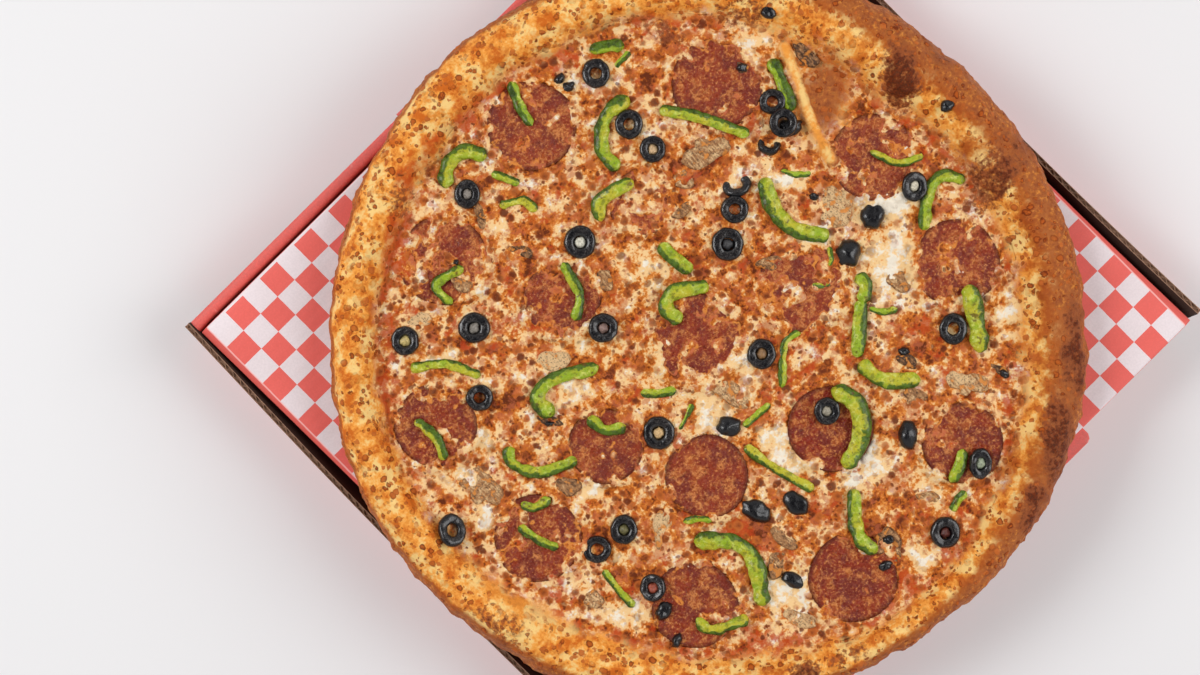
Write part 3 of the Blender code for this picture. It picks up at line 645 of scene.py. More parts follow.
def on_view(across, down):
    """Place in the frame, x and y, of a pixel of the picture."""
    right = (np.asarray(across, float) - VIEW_ORIGIN[0]) * VIEW_STEP
    up = (VIEW_ORIGIN[1] - np.asarray(down, float)) * VIEW_STEP
    x = -right * math.sin(VIEW_TURN) - up * math.cos(VIEW_TURN)
    y = right * math.cos(VIEW_TURN) - up * math.sin(VIEW_TURN)
    return np.stack([x, y], -1)


def in_picture(x, y, across, down, turn=0.0):
    """Distances in pixels from a pixel of the picture, along axes turned by an angle in degrees."""
    centre = on_view(across, down)
    dx, dy = x - centre[0], y - centre[1]
    right = (-dx * math.sin(VIEW_TURN) + dy * math.cos(VIEW_TURN)) / VIEW_STEP
    below = (dx * math.cos(VIEW_TURN) + dy * math.sin(VIEW_TURN)) / VIEW_STEP
    t = math.radians(turn)
    return right * math.cos(t) + below * math.sin(t), below * math.cos(t) - right * math.sin(t)


def soft_noise(x, y, size, seed):
    """Smooth random values from -1 to 1 over a plane, in lumps of about a size."""
    table = np.random.default_rng(seed).uniform(-1, 1, (97, 97))
    u, v = np.asarray(x) / size, np.asarray(y) / size
    i, j = np.floor(u).astype(int), np.floor(v).astype(int)
    a, b = u - i, v - j
    a, b = a * a * (3 - 2 * a), b * b * (3 - 2 * b)
    low = table[i % 97, j % 97] * (1 - a) + table[(i + 1) % 97, j % 97] * a
    high = table[i % 97, (j + 1) % 97] * (1 - a) + table[(i + 1) % 97, (j + 1) % 97] * a
    return low * (1 - b) + high * b


def soft_step(value, low, high):
    """Smooth step from 0 to 1 between two values."""
    t = np.clip((value - low) / (high - low), 0, 1)
    return t * t * (3 - 2 * t)


def ovals(x, y, places, edge=1.5):
    """Strength of a group of uneven ovals at places of the plane."""
    x = x + soft_noise(x, y, 0.006, 5) * 0.0016 + soft_noise(x, y, 0.0025, 6) * 0.0006
    y = y + soft_noise(x, y, 0.006, 7) * 0.0016 + soft_noise(x, y, 0.0025, 8) * 0.0006
    total = np.zeros_like(x)
    for across, down, wide, high, turn, strength in places:
        a, b = in_picture(x, y, across, down, turn)
        total = np.maximum(total, strength * np.exp(-(((a / wide) ** 2 + (b / high) ** 2) ** edge)))
    return total


def beside(x, y, path):
    """Distance in metres from a line through pixels of the picture."""
    nearest = np.full_like(x, 1e9)
    for start, end in zip(path, path[1:]):
        p, q = on_view(*start), on_view(*end)
        run = q - p
        t = np.clip(((x - p[0]) * run[0] + (y - p[1]) * run[1]) / run.dot(run), 0, 1)
        nearest = np.minimum(nearest, np.hypot(x - p[0] - t * run[0], y - p[1] - t * run[1]))
    return nearest


def round_angles(sides):
    """Even angles once round."""
    return np.arange(sides) * math.tau / sides


def swell(angle, swells):
    """Sum of the swells at angles in radians."""
    total = np.zeros_like(angle)
    for centre, spread, size in swells:
        away = (np.degrees(angle) - centre + 180) % 360 - 180
        total += size * np.exp(-((away / spread) ** 2))
    return total


def bubble_rise(x, y):
    """Height that the risen bubbles add."""
    rise = np.zeros_like(x)
    for across, down, radius, height in BUBBLES:
        away = np.hypot(*(np.stack([x, y]) - on_view(across, down).reshape(2, *[1] * x.ndim)))
        rise += height * np.exp(-((away / (radius * VIEW_STEP)) ** 2))
    return rise


def rim_shape(angle):
    """Outer radius, width and height of the rim at angles."""
    return (RIM_RADIUS + swell(angle, RADIUS_SWELLS), RIM_WIDTH + swell(angle, WIDTH_SWELLS),
            RIM_HEIGHT + swell(angle, HEIGHT_SWELLS))


def rounded(points, steps, closed=False):
    """Even points on a soft curve through the given ones."""
    points = np.asarray(points, float)
    if closed:
        ends = np.vstack([points[-1:], points, points[:2]])
    else:
        ends = np.vstack([2 * points[0] - points[1], points, 2 * points[-1] - points[-2]])
    t = np.arange(steps)[:, None] / steps
    curve = []
    for a, b, c, d in zip(ends, ends[1:], ends[2:], ends[3:]):
        curve.append(0.5 * (2 * b + (c - a) * t + (2 * a - 5 * b + 4 * c - d) * t ** 2
                            + (3 * b - a - 3 * c + d) * t ** 3))
    if not closed:
        curve.append(points[-1:])
    return np.vstack(curve)


def linked(name, data):
    """New object in the scene."""
    piece = bpy.data.objects.new(name, data)
    bpy.context.scene.collection.objects.link(piece)
    return piece


def shell_points(x, y, z, *tips):
    """Rows of points in one list, and the points that shut them."""
    return np.vstack([np.stack([x, y, z], -1).reshape(-1, 3), *tips])


def from_faces(name, points, faces, finish, tints=None):
    """Object from points and faces, smooth, with its faces outwards."""
    mesh = bpy.data.meshes.new(name)
    mesh.from_pydata(np.asarray(points).tolist(), [], faces)
    if tints is not None:
        mesh.polygons.foreach_set("material_index", np.asarray(tints, np.int32))
    for each in finish if isinstance(finish, (list, tuple)) else [finish]:
        mesh.materials.append(each)
    shell = bmesh.new()
    shell.from_mesh(mesh)
    bmesh.ops.recalc_face_normals(shell, faces=shell.faces)
    shell.to_mesh(mesh)
    shell.free()
    mesh.shade_smooth()
    return linked(name, mesh)


def skin_faces(count, sides, poles=False, wrap=False, first=0):
    """Faces over rows of points that each run once round, shut by end points, end faces or on themselves."""
    here = np.arange(sides)
    there = np.roll(here, -1)
    faces = []
    for k in range(count if wrap else count - 1):
        low, high = first + k * sides, first + (k + 1) % count * sides
        faces += np.stack([low + here, low + there, high + there, high + here], 1).tolist()
    if poles:
        last = first + (count - 1) * sides
        tip = first + count * sides
        faces += [[first + b, first + a, tip] for a, b in zip(here.tolist(), there.tolist())]
        faces += [[last + a, last + b, tip + 1] for a, b in zip(here.tolist(), there.tolist())]
    elif not wrap:
        faces.append((first + here[::-1]).tolist())
        faces.append((first + (count - 1) * sides + here).tolist())
    return faces


def keep_values(piece, **values):
    """Keep numbers on a piece's points under their names."""
    for name, numbers in values.items():
        layer = piece.data.attributes.new(name, "FLOAT", "POINT")
        layer.data.foreach_set("value", np.asarray(numbers, np.float32).ravel())


def sharpened(piece, degrees=35):
    """Flat-looking faces either side of the sharp edges."""
    piece.data.set_sharp_from_angle(angle=math.radians(degrees))


def joined(name, parts):
    """One piece from several, which are used up."""
    base = parts[0]
    with bpy.context.temp_override(active_object=base, selected_editable_objects=parts, object=base):
        bpy.ops.object.join()
    base.name = name
    base.data.name = name
    return base


def hand_over(piece, nodes=()):
    """Let a finished piece ride on the object and stand for its nodes."""
    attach(piece, RIDER)
    if nodes:
        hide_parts(*nodes)


def nodes_named(start):
    """Names of the nodes of one kind, in order."""
    return sorted(name for name in frame["nodes"] if name.startswith(start))


def tree_of(*names):
    """Search trees of finished pieces that later ones lie on."""
    bpy.context.view_layer.update()
    depsgraph = bpy.context.evaluated_depsgraph_get()
    return [BVHTree.FromObject(bpy.data.objects[name], depsgraph) for name in names]


def top_at(trees, x, y):
    """Height of the highest surface at a place."""
    hits = [tree.ray_cast(Vector((x, y, 1)), Vector((0, 0, -1)))[0] for tree in trees]
    return max((hit.z for hit in hits if hit), default=LID_TOP)


def bed_under(trees, x, y, reach):
    """Slopes and height of the plane that a round piece lies on."""
    angles = round_angles(12)
    spots = np.vstack([np.stack([np.cos(angles), np.sin(angles)], 1) * reach * share for share in (1, 0.5)])
    heights = np.array([top_at(trees, x + a, y + b) for a, b in spots])
    fit = np.linalg.lstsq(np.column_stack([spots, np.ones(len(spots))]), heights, rcond=None)[0]
    return fit[:2], fit[2]


def node_disc(name):
    """Centre, half sizes along the picture, slopes, foot and top of a flat round node."""
    points = np.array([vertex.co for vertex in frame["nodes"][name].data.vertices], float)
    low, high = points.min(0), points.max(0)
    centre = (low + high)[:2] / 2
    flat = points[:, :2] - centre
    right = np.array([-math.sin(VIEW_TURN), math.cos(VIEW_TURN)])
    down = np.array([math.cos(VIEW_TURN), math.sin(VIEW_TURN)])
    fit = np.linalg.lstsq(np.column_stack([flat, np.ones(len(flat))]), points[:, 2], rcond=None)[0]
    level = points[:, 2] - flat @ fit[:2]
    return centre, (abs(flat @ right).max(), abs(flat @ down).max()), fit[:2], level.min(), level.max()


def along_box(y):
    """Share of the way from the box's front to its back."""
    return (y + TRAY_DEPTH / 2) / TRAY_DEPTH


def wall_reach(side, y):
    """How far a leaning side wall's top stands out past the lid's edge."""
    t = along_box(y)
    if side > 0:
        return WALL_LEAN + WALL_BOW * math.sin(math.pi * t)
    return WALL_LEAN + WALL_CORNER_SPLAY * t ** 4


def strip_width(side, y):
    """Width of the sloping strip between the lid's edge and its side flap."""
    t = along_box(y)
    if side > 0:
        return FLAP_STRIP_LEFT[0] + FLAP_STRIP_LEFT[1] * max(0, 1 - t) ** 3
    return FLAP_STRIP_RIGHT[0] + FLAP_STRIP_RIGHT[1] * t ** 4


def board_bump(recipe, shader, place, pitch, strength=0.35):
    """Faint ridges of the flutes and the tooth of the paper."""
    split = recipe.add("ShaderNodeSeparateXYZ", {0: place})
    ridge = recipe.math("SINE", recipe.times(split.outputs[1], math.tau / pitch))
    tooth = recipe.noise(place, 0.0009, 3.0)
    height = recipe.math("MULTIPLY_ADD", ridge, 0.35, recipe.times(tooth, 0.25))
    bumped(recipe, shader, height, 0.0002, strength)


def print_finish(settings):
    """White paper with a printed check on the lid's top, plain print elsewhere, and pale creases."""
    finish, recipe, shader = new_finish("printed_board")
    place = object_place(recipe)
    split = recipe.add("ShaderNodeSeparateXYZ", {0: recipe.wobbled(place, 0.004, 0.0003)})
    x, y = split.outputs[0], split.outputs[1]
    height = recipe.add("ShaderNodeSeparateXYZ", {0: place}).outputs[2]
    margin = LID_FRONT + 0.002
    columns, rows = settings.check_columns / LID_WIDTH, settings.check_rows / (LID_BACK - margin)
    column = recipe.math("FLOOR", recipe.times(recipe.math("SUBTRACT", LID_WIDTH / 2, x), columns))
    row = recipe.math("FLOOR", recipe.times(recipe.math("SUBTRACT", y, margin), rows))
    odd = recipe.math("PINGPONG", recipe.math("ADD", column, row), 1.0)
    across = recipe.math("ABSOLUTE", x)
    inside = recipe.math("LESS_THAN", across, LID_WIDTH / 2)
    on_top = recipe.math("GREATER_THAN", height, LID_TOP - 0.0006)
    printed = recipe.times(recipe.math("GREATER_THAN", y, margin), odd)
    plain = recipe.math("SUBTRACT", 1.0, recipe.times(inside, on_top))
    past_fold = recipe.math("LESS_THAN", y, LID_FRONT - 0.0005)
    ink = recipe.math("MAXIMUM", recipe.math("MAXIMUM", printed, plain), past_fold)
    mottle = recipe.noise(place, 0.0012, 3.0, 0.65)
    cloud = recipe.noise(place, 0.05, 2.0)
    red = recipe.mix(recipe.ease(mottle, 0.35, 0.75), settings.print_colour, tuple(
        min(1, part * 1.06 + 0.008) for part in settings.print_colour))
    white = recipe.mix(recipe.ease(mottle, 0.3, 0.7), settings.paper_colour, tuple(
        part * 0.93 for part in settings.paper_colour))
    colour = recipe.mix(ink, white, red)
    colour = recipe.mix(recipe.ease(cloud, 0.35, 0.8, 0.0, 0.14), colour, settings.kraft_colour, "MULTIPLY")
    crease = recipe.math("ABSOLUTE", recipe.math("SUBTRACT", across, LID_WIDTH / 2))
    crease = recipe.ease(crease, 0.0002, 0.0007, 0.75, 0.0)
    colour = recipe.mix(recipe.times(crease, on_top), colour, settings.crease_colour)
    surfaced(recipe, shader, colour, recipe.ease(mottle, 0.2, 0.8, 0.5, 0.68))
    board_bump(recipe, shader, place, settings.flute_pitch)
    return finish


def outside_finish(settings):
    """Plain print on the outside of the tray, a little scuffed."""
    finish, recipe, shader = new_finish("printed_side")
    place = object_place(recipe)
    mottle = recipe.noise(place, 0.0012, 3.0, 0.65)
    scuff = recipe.ease(recipe.noise(place, 0.011, 5.0, 0.7), 0.60, 0.72, 0.0, 0.35)
    deep = tuple(part * 0.82 for part in settings.print_colour)
    colour = recipe.over(deep, settings.print_colour, mottle, 0.3, 0.75)
    colour = recipe.mix(scuff, colour, settings.crease_colour)
    surfaced(recipe, shader, colour, recipe.ease(mottle, 0.2, 0.8, 0.45, 0.65))
    board_bump(recipe, shader, place, settings.flute_pitch, 0.5)
    return finish


def kraft_finish(settings, name, shade=1.0):
    """Bare brown board with its fibres; its colour is scaled by a factor, below one as painted shade and
    above one as painted light.
    """
    finish, recipe, shader = new_finish(name)
    place = object_place(recipe)
    stretched = recipe.add("ShaderNodeMapping", {"Vector": place, "Scale": (0.25, 1.0, 1.0)}).outputs[0]
    fibre = recipe.noise(stretched, 0.0008, 4.0, 0.7)
    cloud = recipe.noise(place, 0.02, 3.0)
    base = tuple(part * shade for part in settings.kraft_colour)
    dark = tuple(part * 0.55 for part in base)
    light = tuple(min(1, part * 1.5) for part in base)
    colour = recipe.over(dark, base, fibre, 0.3, 0.7)
    colour = recipe.over(colour, light, fibre, 0.6, 0.78, 0.0, 0.6)
    colour = recipe.over(colour, dark, cloud, 0.3, 0.7, 0.0, 0.35)
    recipe.feed(shader.inputs["Base Color"], colour)
    shader.inputs["Roughness"].default_value = 0.85
    bumped(recipe, shader, fibre, 0.0003, 0.6)
    return finish


def bar(name, outline, start, end, finish, tints=None):
    """Bar along X with a closed outline in y and z."""
    rows = [[(x, y, z) for y, z in outline] for x in np.linspace(start, end, 41)]
    points = np.array(rows).reshape(-1, 3)
    piece = from_faces(name, points, skin_faces(len(rows), len(outline)), finish, tints)
    sharpened(piece)
    return piece


def rounded_top(front, back, foot, top, radius, steps=6):
    """Outline of an upright board with a rounded top edge, in y and z."""
    quarter = np.linspace(0, math.pi / 2, steps)
    rise = [(front + radius - radius * math.cos(a), top - radius + radius * math.sin(a)) for a in quarter]
    fall = [(back - radius + radius * math.sin(a), top - radius + radius * math.cos(a)) for a in quarter]
    return [(front, foot)] + rise + fall + [(back, foot)]


class PIZZA_OT_tray(bpy.types.Operator):
    """Build the tray: leaning side walls with open flutes, a rolled front wall and a tab at the back"""

    bl_idname = "pizza.build_tray"
    bl_label = "Box tray"

    def execute(self, context):
        settings = context.scene.pizza_box
        outside = outside_finish(settings)
        # The wall insides, the tray's floor and the core under the lid get kraft at 0.16 of its colour:
        # painted shade for the dark gap under the lid's edge.
        shaded_kraft = kraft_finish(settings, "kraft_inside", 0.16)
        # The wall tops, the flutes and the walls' cut ends get kraft at 1.25 of its colour: painted light on
        # the edges that face the light.
        edge = kraft_finish(settings, "kraft_edge", 1.25)
        walls = self.walls(outside, shaded_kraft, edge)
        front, back = -TRAY_DEPTH / 2, TRAY_DEPTH / 2
        roll = bar(
            "roll", rounded_top(front, front + FRONT_ROLL_DEPTH, BOARD, FRONT_ROLL_TOP, 0.0028),
            -FRONT_ROLL_WIDTH / 2, FRONT_ROLL_WIDTH / 2, outside)
        under_lid = LID_TOP - BOARD
        half = CORE_WIDTH / 2
        core = bar(
            "core", [(LID_FRONT + 0.001, BOARD), (LID_FRONT + 0.001, under_lid), (back - BOARD, under_lid),
                     (back - BOARD, BOARD)], -half, half, shaded_kraft)
        rear_top = rounded_top(back - BOARD, back - 0.0002, 0.0005, under_lid - 0.0004, 0.001)
        rear = bar("rear", rear_top, -half, half, outside)
        piece = joined("tray_board", [walls, roll, core, rear, self.tab(outside)])
        hand_over(piece, ["box_tray"])
        flutes = self.flutes(settings, edge)
        hand_over(flutes)
        return {"FINISHED"}

    def section(self, side, y):
        """Half of the tray's channel, with the groove between the two papers of the wall's top edge."""
        foot = TRAY_WIDTH / 2
        top = LID_WIDTH / 2 + wall_reach(side, y)
        level = TRAY_WALL_TOP + 0.0002 * math.sin(y * 61 + side)
        floor = level - GROOVE_DEPTH
        return (
            (foot - 0.0016, 0.0), (foot - 0.0005, 0.0004), (foot, 0.0016),
            (foot + (top - foot) * 0.5, level * 0.5), (top, level), (top - LINER, level),
            (top - LINER, floor), (top - BOARD + LINER, floor), (top - BOARD + LINER, level),
            (top - BOARD, level), (foot - BOARD, TRAY_FLOOR_TOP),
        )

    def walls(self, outside, shaded_kraft, edge):
        """Channel of the tray's floor and its two side walls."""
        rows = []
        for y in np.linspace(-TRAY_DEPTH / 2, TRAY_DEPTH / 2, BOX_STATIONS):
            right = [(x, y, z) for x, z in self.section(1, y)]
            left = [(-x, y, z) for x, z in self.section(-1, y)]
            rows.append(right + left[::-1])
        # Faces: printed outside, lighter kraft with painted light on the top edge and groove, darkened kraft
        # with painted shade inside.
        half = [0, 0, 0, 0, 2, 2, 2, 2, 2, 1, 1]
        tints = half + half[-2::-1] + [0]
        sides = len(rows[0])
        faces = skin_faces(len(rows), sides)
        per_face = tints * (len(rows) - 1) + [2, 2]
        piece = from_faces("walls", np.array(rows).reshape(-1, 3), faces, [outside, shaded_kraft, edge], per_face)
        sharpened(piece, 30)
        return piece

    def tab(self, outside):
        """Tab behind the back wall, with clipped corners."""
        back = TRAY_DEPTH / 2
        half = BACK_TAB_WIDTH / 2
        reach = back + BACK_TAB_REACH
        outline = [
            (-half, back - BOARD), (half, back - BOARD), (half, reach - BACK_TAB_CHAMFER),
            (half - BACK_TAB_CHAMFER * 0.4, reach - BACK_TAB_CHAMFER * 0.3), (half - BACK_TAB_CHAMFER, reach),
            (BACK_TAB_CHAMFER - half, reach), (BACK_TAB_CHAMFER * 0.4 - half, reach - BACK_TAB_CHAMFER * 0.3),
            (-half, reach - BACK_TAB_CHAMFER),
        ]
        top = LID_TOP - BOARD - 0.0004
        levels = ((top - BOARD, 0.0), (top - 0.0006, 0.0), (top - 0.0002, 0.0003), (top, 0.0009))
        rows = []
        for z, inset in levels:
            rows.append([(x * (1 - inset / half), y - inset * (y > back), z) for x, y in outline])
        piece = from_faces("tab", np.array(rows).reshape(-1, 3), skin_faces(len(rows), len(outline)), outside)
        sharpened(piece)
        return piece

    def flutes(self, settings, edge):
        """Wavy paper between the two flat ones, which shows along the tops of the side walls."""
        lines = []
        for side in (1, -1):
            stations = np.linspace(-TRAY_DEPTH / 2 + 0.0005, TRAY_DEPTH / 2 - 0.0005, BOX_STATIONS)
            middle = LID_WIDTH / 2 - BOARD / 2
            level = TRAY_WALL_TOP - GROOVE_DEPTH / 2 - 0.0001
            lines.append([(side * (middle + wall_reach(side, y)), y, level) for y in stations])
        guide = bpy.data.meshes.new("flute_edges")
        edges = [(k, k + 1) for start in (0, BOX_STATIONS) for k in range(start, start + BOX_STATIONS - 1)]
        guide.from_pydata(lines[0] + lines[1], edges, [])
        piece = linked("flute_edges", guide)
        sizes = [(size, "Float") for size in ("Pitch", "Height", "Depth", "Paper")]
        recipe, given, out = shape_tree("flute_wave", [*sizes, ("Finish", "Material")])
        line = recipe.add("GeometryNodeMeshToCurve", {0: given["Geometry"]}).outputs[0]
        feeds = {"Curve": line, "Length": recipe.math("DIVIDE", given["Pitch"], WAVE_STEPS)}
        line = recipe.add("GeometryNodeResampleCurve", feeds, mode="LENGTH").outputs[0]
        length = recipe.add("GeometryNodeSplineParameter").outputs["Length"]
        phase = recipe.math("DIVIDE", recipe.times(length, math.tau), given["Pitch"])
        swing = recipe.times(recipe.math("SINE", phase), given["Height"])
        offset = recipe.add("ShaderNodeCombineXYZ", {0: swing}).outputs[0]
        line = recipe.add("GeometryNodeSetPosition", {"Geometry": line, "Offset": offset}).outputs[0]
        line = recipe.add("GeometryNodeSetCurveNormal", {0: line}, mode="Z_UP").outputs[0]
        feeds = {"Width": given["Paper"], "Height": given["Depth"]}
        section = recipe.add("GeometryNodeCurvePrimitiveQuadrilateral", feeds).outputs[0]
        feeds = {"Curve": line, "Profile Curve": section, "Fill Caps": True}
        sheet = recipe.add("GeometryNodeCurveToMesh", feeds)
        finish_shape(recipe, sheet.outputs[0], given["Finish"], out)
        return grown(piece, recipe, {
            "Pitch": settings.flute_pitch, "Height": (BOARD - 2 * LINER - FLUTE_PAPER) / 2,
            "Depth": GROOVE_DEPTH, "Paper": FLUTE_PAPER, "Finish": edge})


def sag(place):
    """Share of the lid's sag at a distance from its middle."""
    return max(0, 1 - (place / LID_SAG_REACH) ** 2)


class PIZZA_OT_lid(bpy.types.Operator):
    """Build the closed lid: a printed panel, sloping strips, side flaps and a short tab at the front"""

    bl_idname = "pizza.build_lid"
    bl_label = "Box lid"

    def execute(self, context):
        settings = context.scene.pizza_box
        printed = print_finish(settings)
        outside = outside_finish(settings)
        edge = kraft_finish(settings, "kraft_lid_edge", 1.0)
        panel = self.panel(printed, outside, edge)
        front = LID_FRONT - FRONT_TAB_REACH
        tab_outline = [
            (front, FRONT_ROLL_TOP + 0.0004), (front, LID_TOP - 0.0016), (front + 0.0004, LID_TOP - 0.0006),
            (front + 0.0014, LID_TOP - 0.0002), (LID_FRONT + 0.001, LID_TOP - 0.0001),
            (LID_FRONT + 0.001, FRONT_ROLL_TOP + 0.0004),
        ]
        half = FRONT_TAB_WIDTH / 2
        tab = bar("tab", tab_outline, FRONT_TAB_SHIFT - half, FRONT_TAB_SHIFT + half, outside)
        piece = joined("lid_board", [panel, tab])
        hand_over(piece, ["box_lid"])
        return {"FINISHED"}

    def half(self, side, y):
        """Half of the lid's section: fold, sloping strip, knee and flap."""
        edge = LID_WIDTH / 2
        strip = strip_width(side, y)
        knee = LID_TOP - BOARD / 2 - strip / 2
        foot = edge - 0.0008 + strip / 5
        outer = edge + strip
        return (
            (edge - 0.0006, LID_TOP), (edge, LID_TOP - 0.0001), (edge + 0.0005, LID_TOP - 0.0004),
            (outer - 0.0005, knee + 0.0005), (outer, knee), (outer - 0.0001, knee - 0.0008),
            (foot, FLAP_FOOT), (foot - BOARD, FLAP_FOOT), (outer - BOARD, LID_TOP - BOARD - 0.6 * strip),
            (edge - BOARD, LID_TOP - BOARD),
        )

    def panel(self, printed, outside, edge):
        """Panel with its flaps, over cross-sections from the front to the back."""
        columns = 36
        top_x = np.linspace(-LID_WIDTH / 2 + 0.0006, LID_WIDTH / 2 - 0.0006, columns + 1)[1:-1]
        stations = np.linspace(LID_FRONT, LID_BACK, BOX_STATIONS)
        fold = 0.0016
        stations = np.concatenate([[LID_FRONT + fold * share for share in (0, 0.12, 0.4, 1)], stations[1:-1],
                                   [LID_BACK - fold * share for share in (1, 0.4, 0.12, 0)]])
        rows = []
        for y in stations:
            right = [(x, y, z) for x, z in self.half(1, y)]
            left = [(-x, y, z) for x, z in self.half(-1, y)]
            across = [(x, y, LID_TOP - LID_SAG * sag(x) * sag(y)) for x in top_x]
            ring = np.array(right + left[::-1] + across)
            ends = min(y - LID_FRONT, LID_BACK - y)
            drop = fold - math.sqrt(max(0.0, fold ** 2 - max(0.0, fold - ends) ** 2))
            ring[:, 2] -= drop * (ring[:, 2] > LID_TOP - 0.001)
            rows.append(ring)
        half = [0, 0, 0, 1, 1, 1, 2, 2, 2]
        tints = half + [2] + half[::-1] + [0] * columns
        sides = len(rows[0])
        faces = skin_faces(len(rows), sides)
        per_face = tints * (len(rows) - 1) + [1, 1]
        piece = from_faces("panel", np.array(rows).reshape(-1, 3), faces, [printed, outside, edge], per_face)
        sharpened(piece, 40)
        return piece


def bake_fields(recipe, place, curd_size, spot_size, blotch_size, speck_size):
    """Noises and blisters of the baked surface, the same for its relief and for its colours."""
    loose = recipe.wobbled(place, 0.0040, 0.0030)
    looser = recipe.wobbled(loose, 0.0014, 0.0012)
    spot, spot_draw = recipe.blisters(looser, spot_size, 0.80, 0.20, 0.46)
    blotch, blotch_draw = recipe.blisters(looser, blotch_size, 0.80, 0.26, 0.50)
    speck, speck_draw = recipe.blisters(looser, speck_size, 0.50, 0.22, 0.5)
    return {
        "region": recipe.noise(place, 0.034, 2.0), "cloud": recipe.noise(place, 0.0105, 3.0, 0.55),
        "curd": recipe.noise(looser, curd_size, 3.0, 0.62), "grain": recipe.noise(place, 0.0017, 3.0, 0.6),
        "spot": spot, "spot_draw": spot_draw, "blotch": blotch, "blotch_draw": blotch_draw,
        "speck": speck, "speck_draw": speck_draw,
    }


# Inputs of the relief's tree, and the settings that feed them.
BAKE_SIZES = {
    "Lump size": "lump_size", "Lump height": "lump_height", "Curd size": "curd_size",
    "Curd height": "curd_height", "Blister size": "spot_size", "Blotch size": "blotch_size",
    "Speck size": "speck_size", "Blister height": "blister_height",
}


def bake_relief(name):
    """Tree that gives a baked piece its lumps, blisters and grain."""
    inputs = [(size, "Float") for size in BAKE_SIZES] + [("Finish", "Material")]
    recipe, given, out = shape_tree(name, inputs)
    place = recipe.add("GeometryNodeInputPosition").outputs[0]
    kept = recipe.keep(given["Geometry"], "rest", place, "FLOAT_VECTOR")
    sizes = [given[size] for size in ("Curd size", "Blister size", "Blotch size", "Speck size")]
    fields = bake_fields(recipe, place, *sizes)
    crusty = recipe.reading("crusty")
    lump = recipe.noise(place, given["Lump size"], 1.5)
    lump = recipe.times(recipe.math("SUBTRACT", lump, 0.5), given["Lump height"])
    curd = recipe.times(recipe.math("SUBTRACT", fields["curd"], 0.5), given["Curd height"])
    cloud = recipe.times(recipe.math("SUBTRACT", fields["cloud"], 0.5), 0.0024)
    body = recipe.math("ADD", recipe.between(crusty, curd, lump), cloud)
    dome = recipe.ease(fields["spot"], 0.2, 1.05, 1.0, 0.0)
    pillow = recipe.ease(fields["blotch"], 0.2, 1.1, 1.0, 0.0)
    speck = recipe.ease(fields["speck"], 0.2, 1.0, 0.35, 0.0)
    raised = recipe.math("ADD", recipe.math("ADD", dome, pillow), speck)
    raised = recipe.times(raised, given["Blister height"])
    grain = recipe.times(recipe.math("SUBTRACT", fields["grain"], 0.5), 0.0006)
    height = recipe.math("ADD", body, recipe.math("ADD", raised, grain))
    height = recipe.times(height, recipe.reading("shown"))
    normal = recipe.add("GeometryNodeInputNormal").outputs[0]
    offset = recipe.scaled(normal, height)
    moved = recipe.add("GeometryNodeSetPosition", {"Geometry": kept, "Offset": offset}).outputs[0]
    finish_shape(recipe, moved, given["Finish"], out)
    return recipe


def bake_values(settings, finish):
    """Inputs of the relief's tree."""
    return {**{name: getattr(settings, key) for name, key in BAKE_SIZES.items()}, "Finish": finish}


def melt_colour(recipe, place, fields, settings, creamy, saucy, shade):
    """Colour of melted cheese: cream lumps, amber hollows with painted shade darkest in the creases, and gaps
    of sauce, before its browned bubbles.
    """
    # The tone follows the curd lumps that also raise the relief, so the low creases come out umber as painted
    # shade.
    tone = recipe.varied(fields["curd"], fields["cloud"], 0.55)
    tone = recipe.varied(tone, fields["region"], -0.35)
    tone = recipe.varied(tone, fields["grain"], 0.30)
    tone = recipe.math("MULTIPLY_ADD", creamy, 0.17, tone)
    # The shade value darkens the cheese's tone as painted shade.
    tone = recipe.math("MULTIPLY_ADD", shade, -0.14, tone)
    melt = recipe.over(settings.umber_and_crease_shade, settings.amber, tone, 0.29, 0.41)
    melt = recipe.over(melt, settings.gold, tone, 0.39, 0.49)
    melt = recipe.over(melt, settings.cream, tone, 0.46, 0.55)
    melt = recipe.over(melt, settings.white, tone, 0.62, 0.74)
    blush = recipe.noise(recipe.wobbled(place, 0.006, 0.005), 0.0062, 3.0, 0.7)
    blush = recipe.math("MULTIPLY_ADD", creamy, -0.20, blush)
    melt = recipe.over(melt, settings.rosy, blush, 0.47, 0.60, 0.0, 0.62)
    sauce = recipe.math("MULTIPLY_ADD", saucy, 0.20, recipe.noise(place, 0.0085, 4.0, 0.65))
    sauce = recipe.math("MULTIPLY_ADD", creamy, -0.22, sauce)
    return recipe.over(melt, settings.sauce, sauce, 0.55, 0.67, 0.0, 0.82)


def blistered(recipe, ground, crusty, fields, settings, kept):
    """Colour with brown blisters: ringed on the rim, darkest in the middle on the cheese."""
    colour = ground
    for name, strength in (("blotch", 0.95), ("spot", 0.95), ("speck", 0.88)):
        near, draw = fields[name], fields[name + "_draw"]
        inside = recipe.ease(near, recipe.between(crusty, 0.66, 0.84), 1.05, strength, 0.0)
        core = recipe.ease(recipe.math("MULTIPLY_ADD", draw, -0.75, near), -0.35, 0.75)
        melted = recipe.mix(core, settings.blister_core, settings.blister_light)
        inner = recipe.over(settings.blister_light, settings.blister, draw, 0.15, 0.75)
        ring = recipe.times(recipe.ease(near, 0.45, 0.85), recipe.ease(draw, 0.1, 0.8))
        baked = recipe.mix(ring, inner, settings.blister_edge)
        brown = recipe.mix(crusty, melted, baked)
        colour = recipe.mix(recipe.times(inside, kept[name]), colour, brown)
    return colour


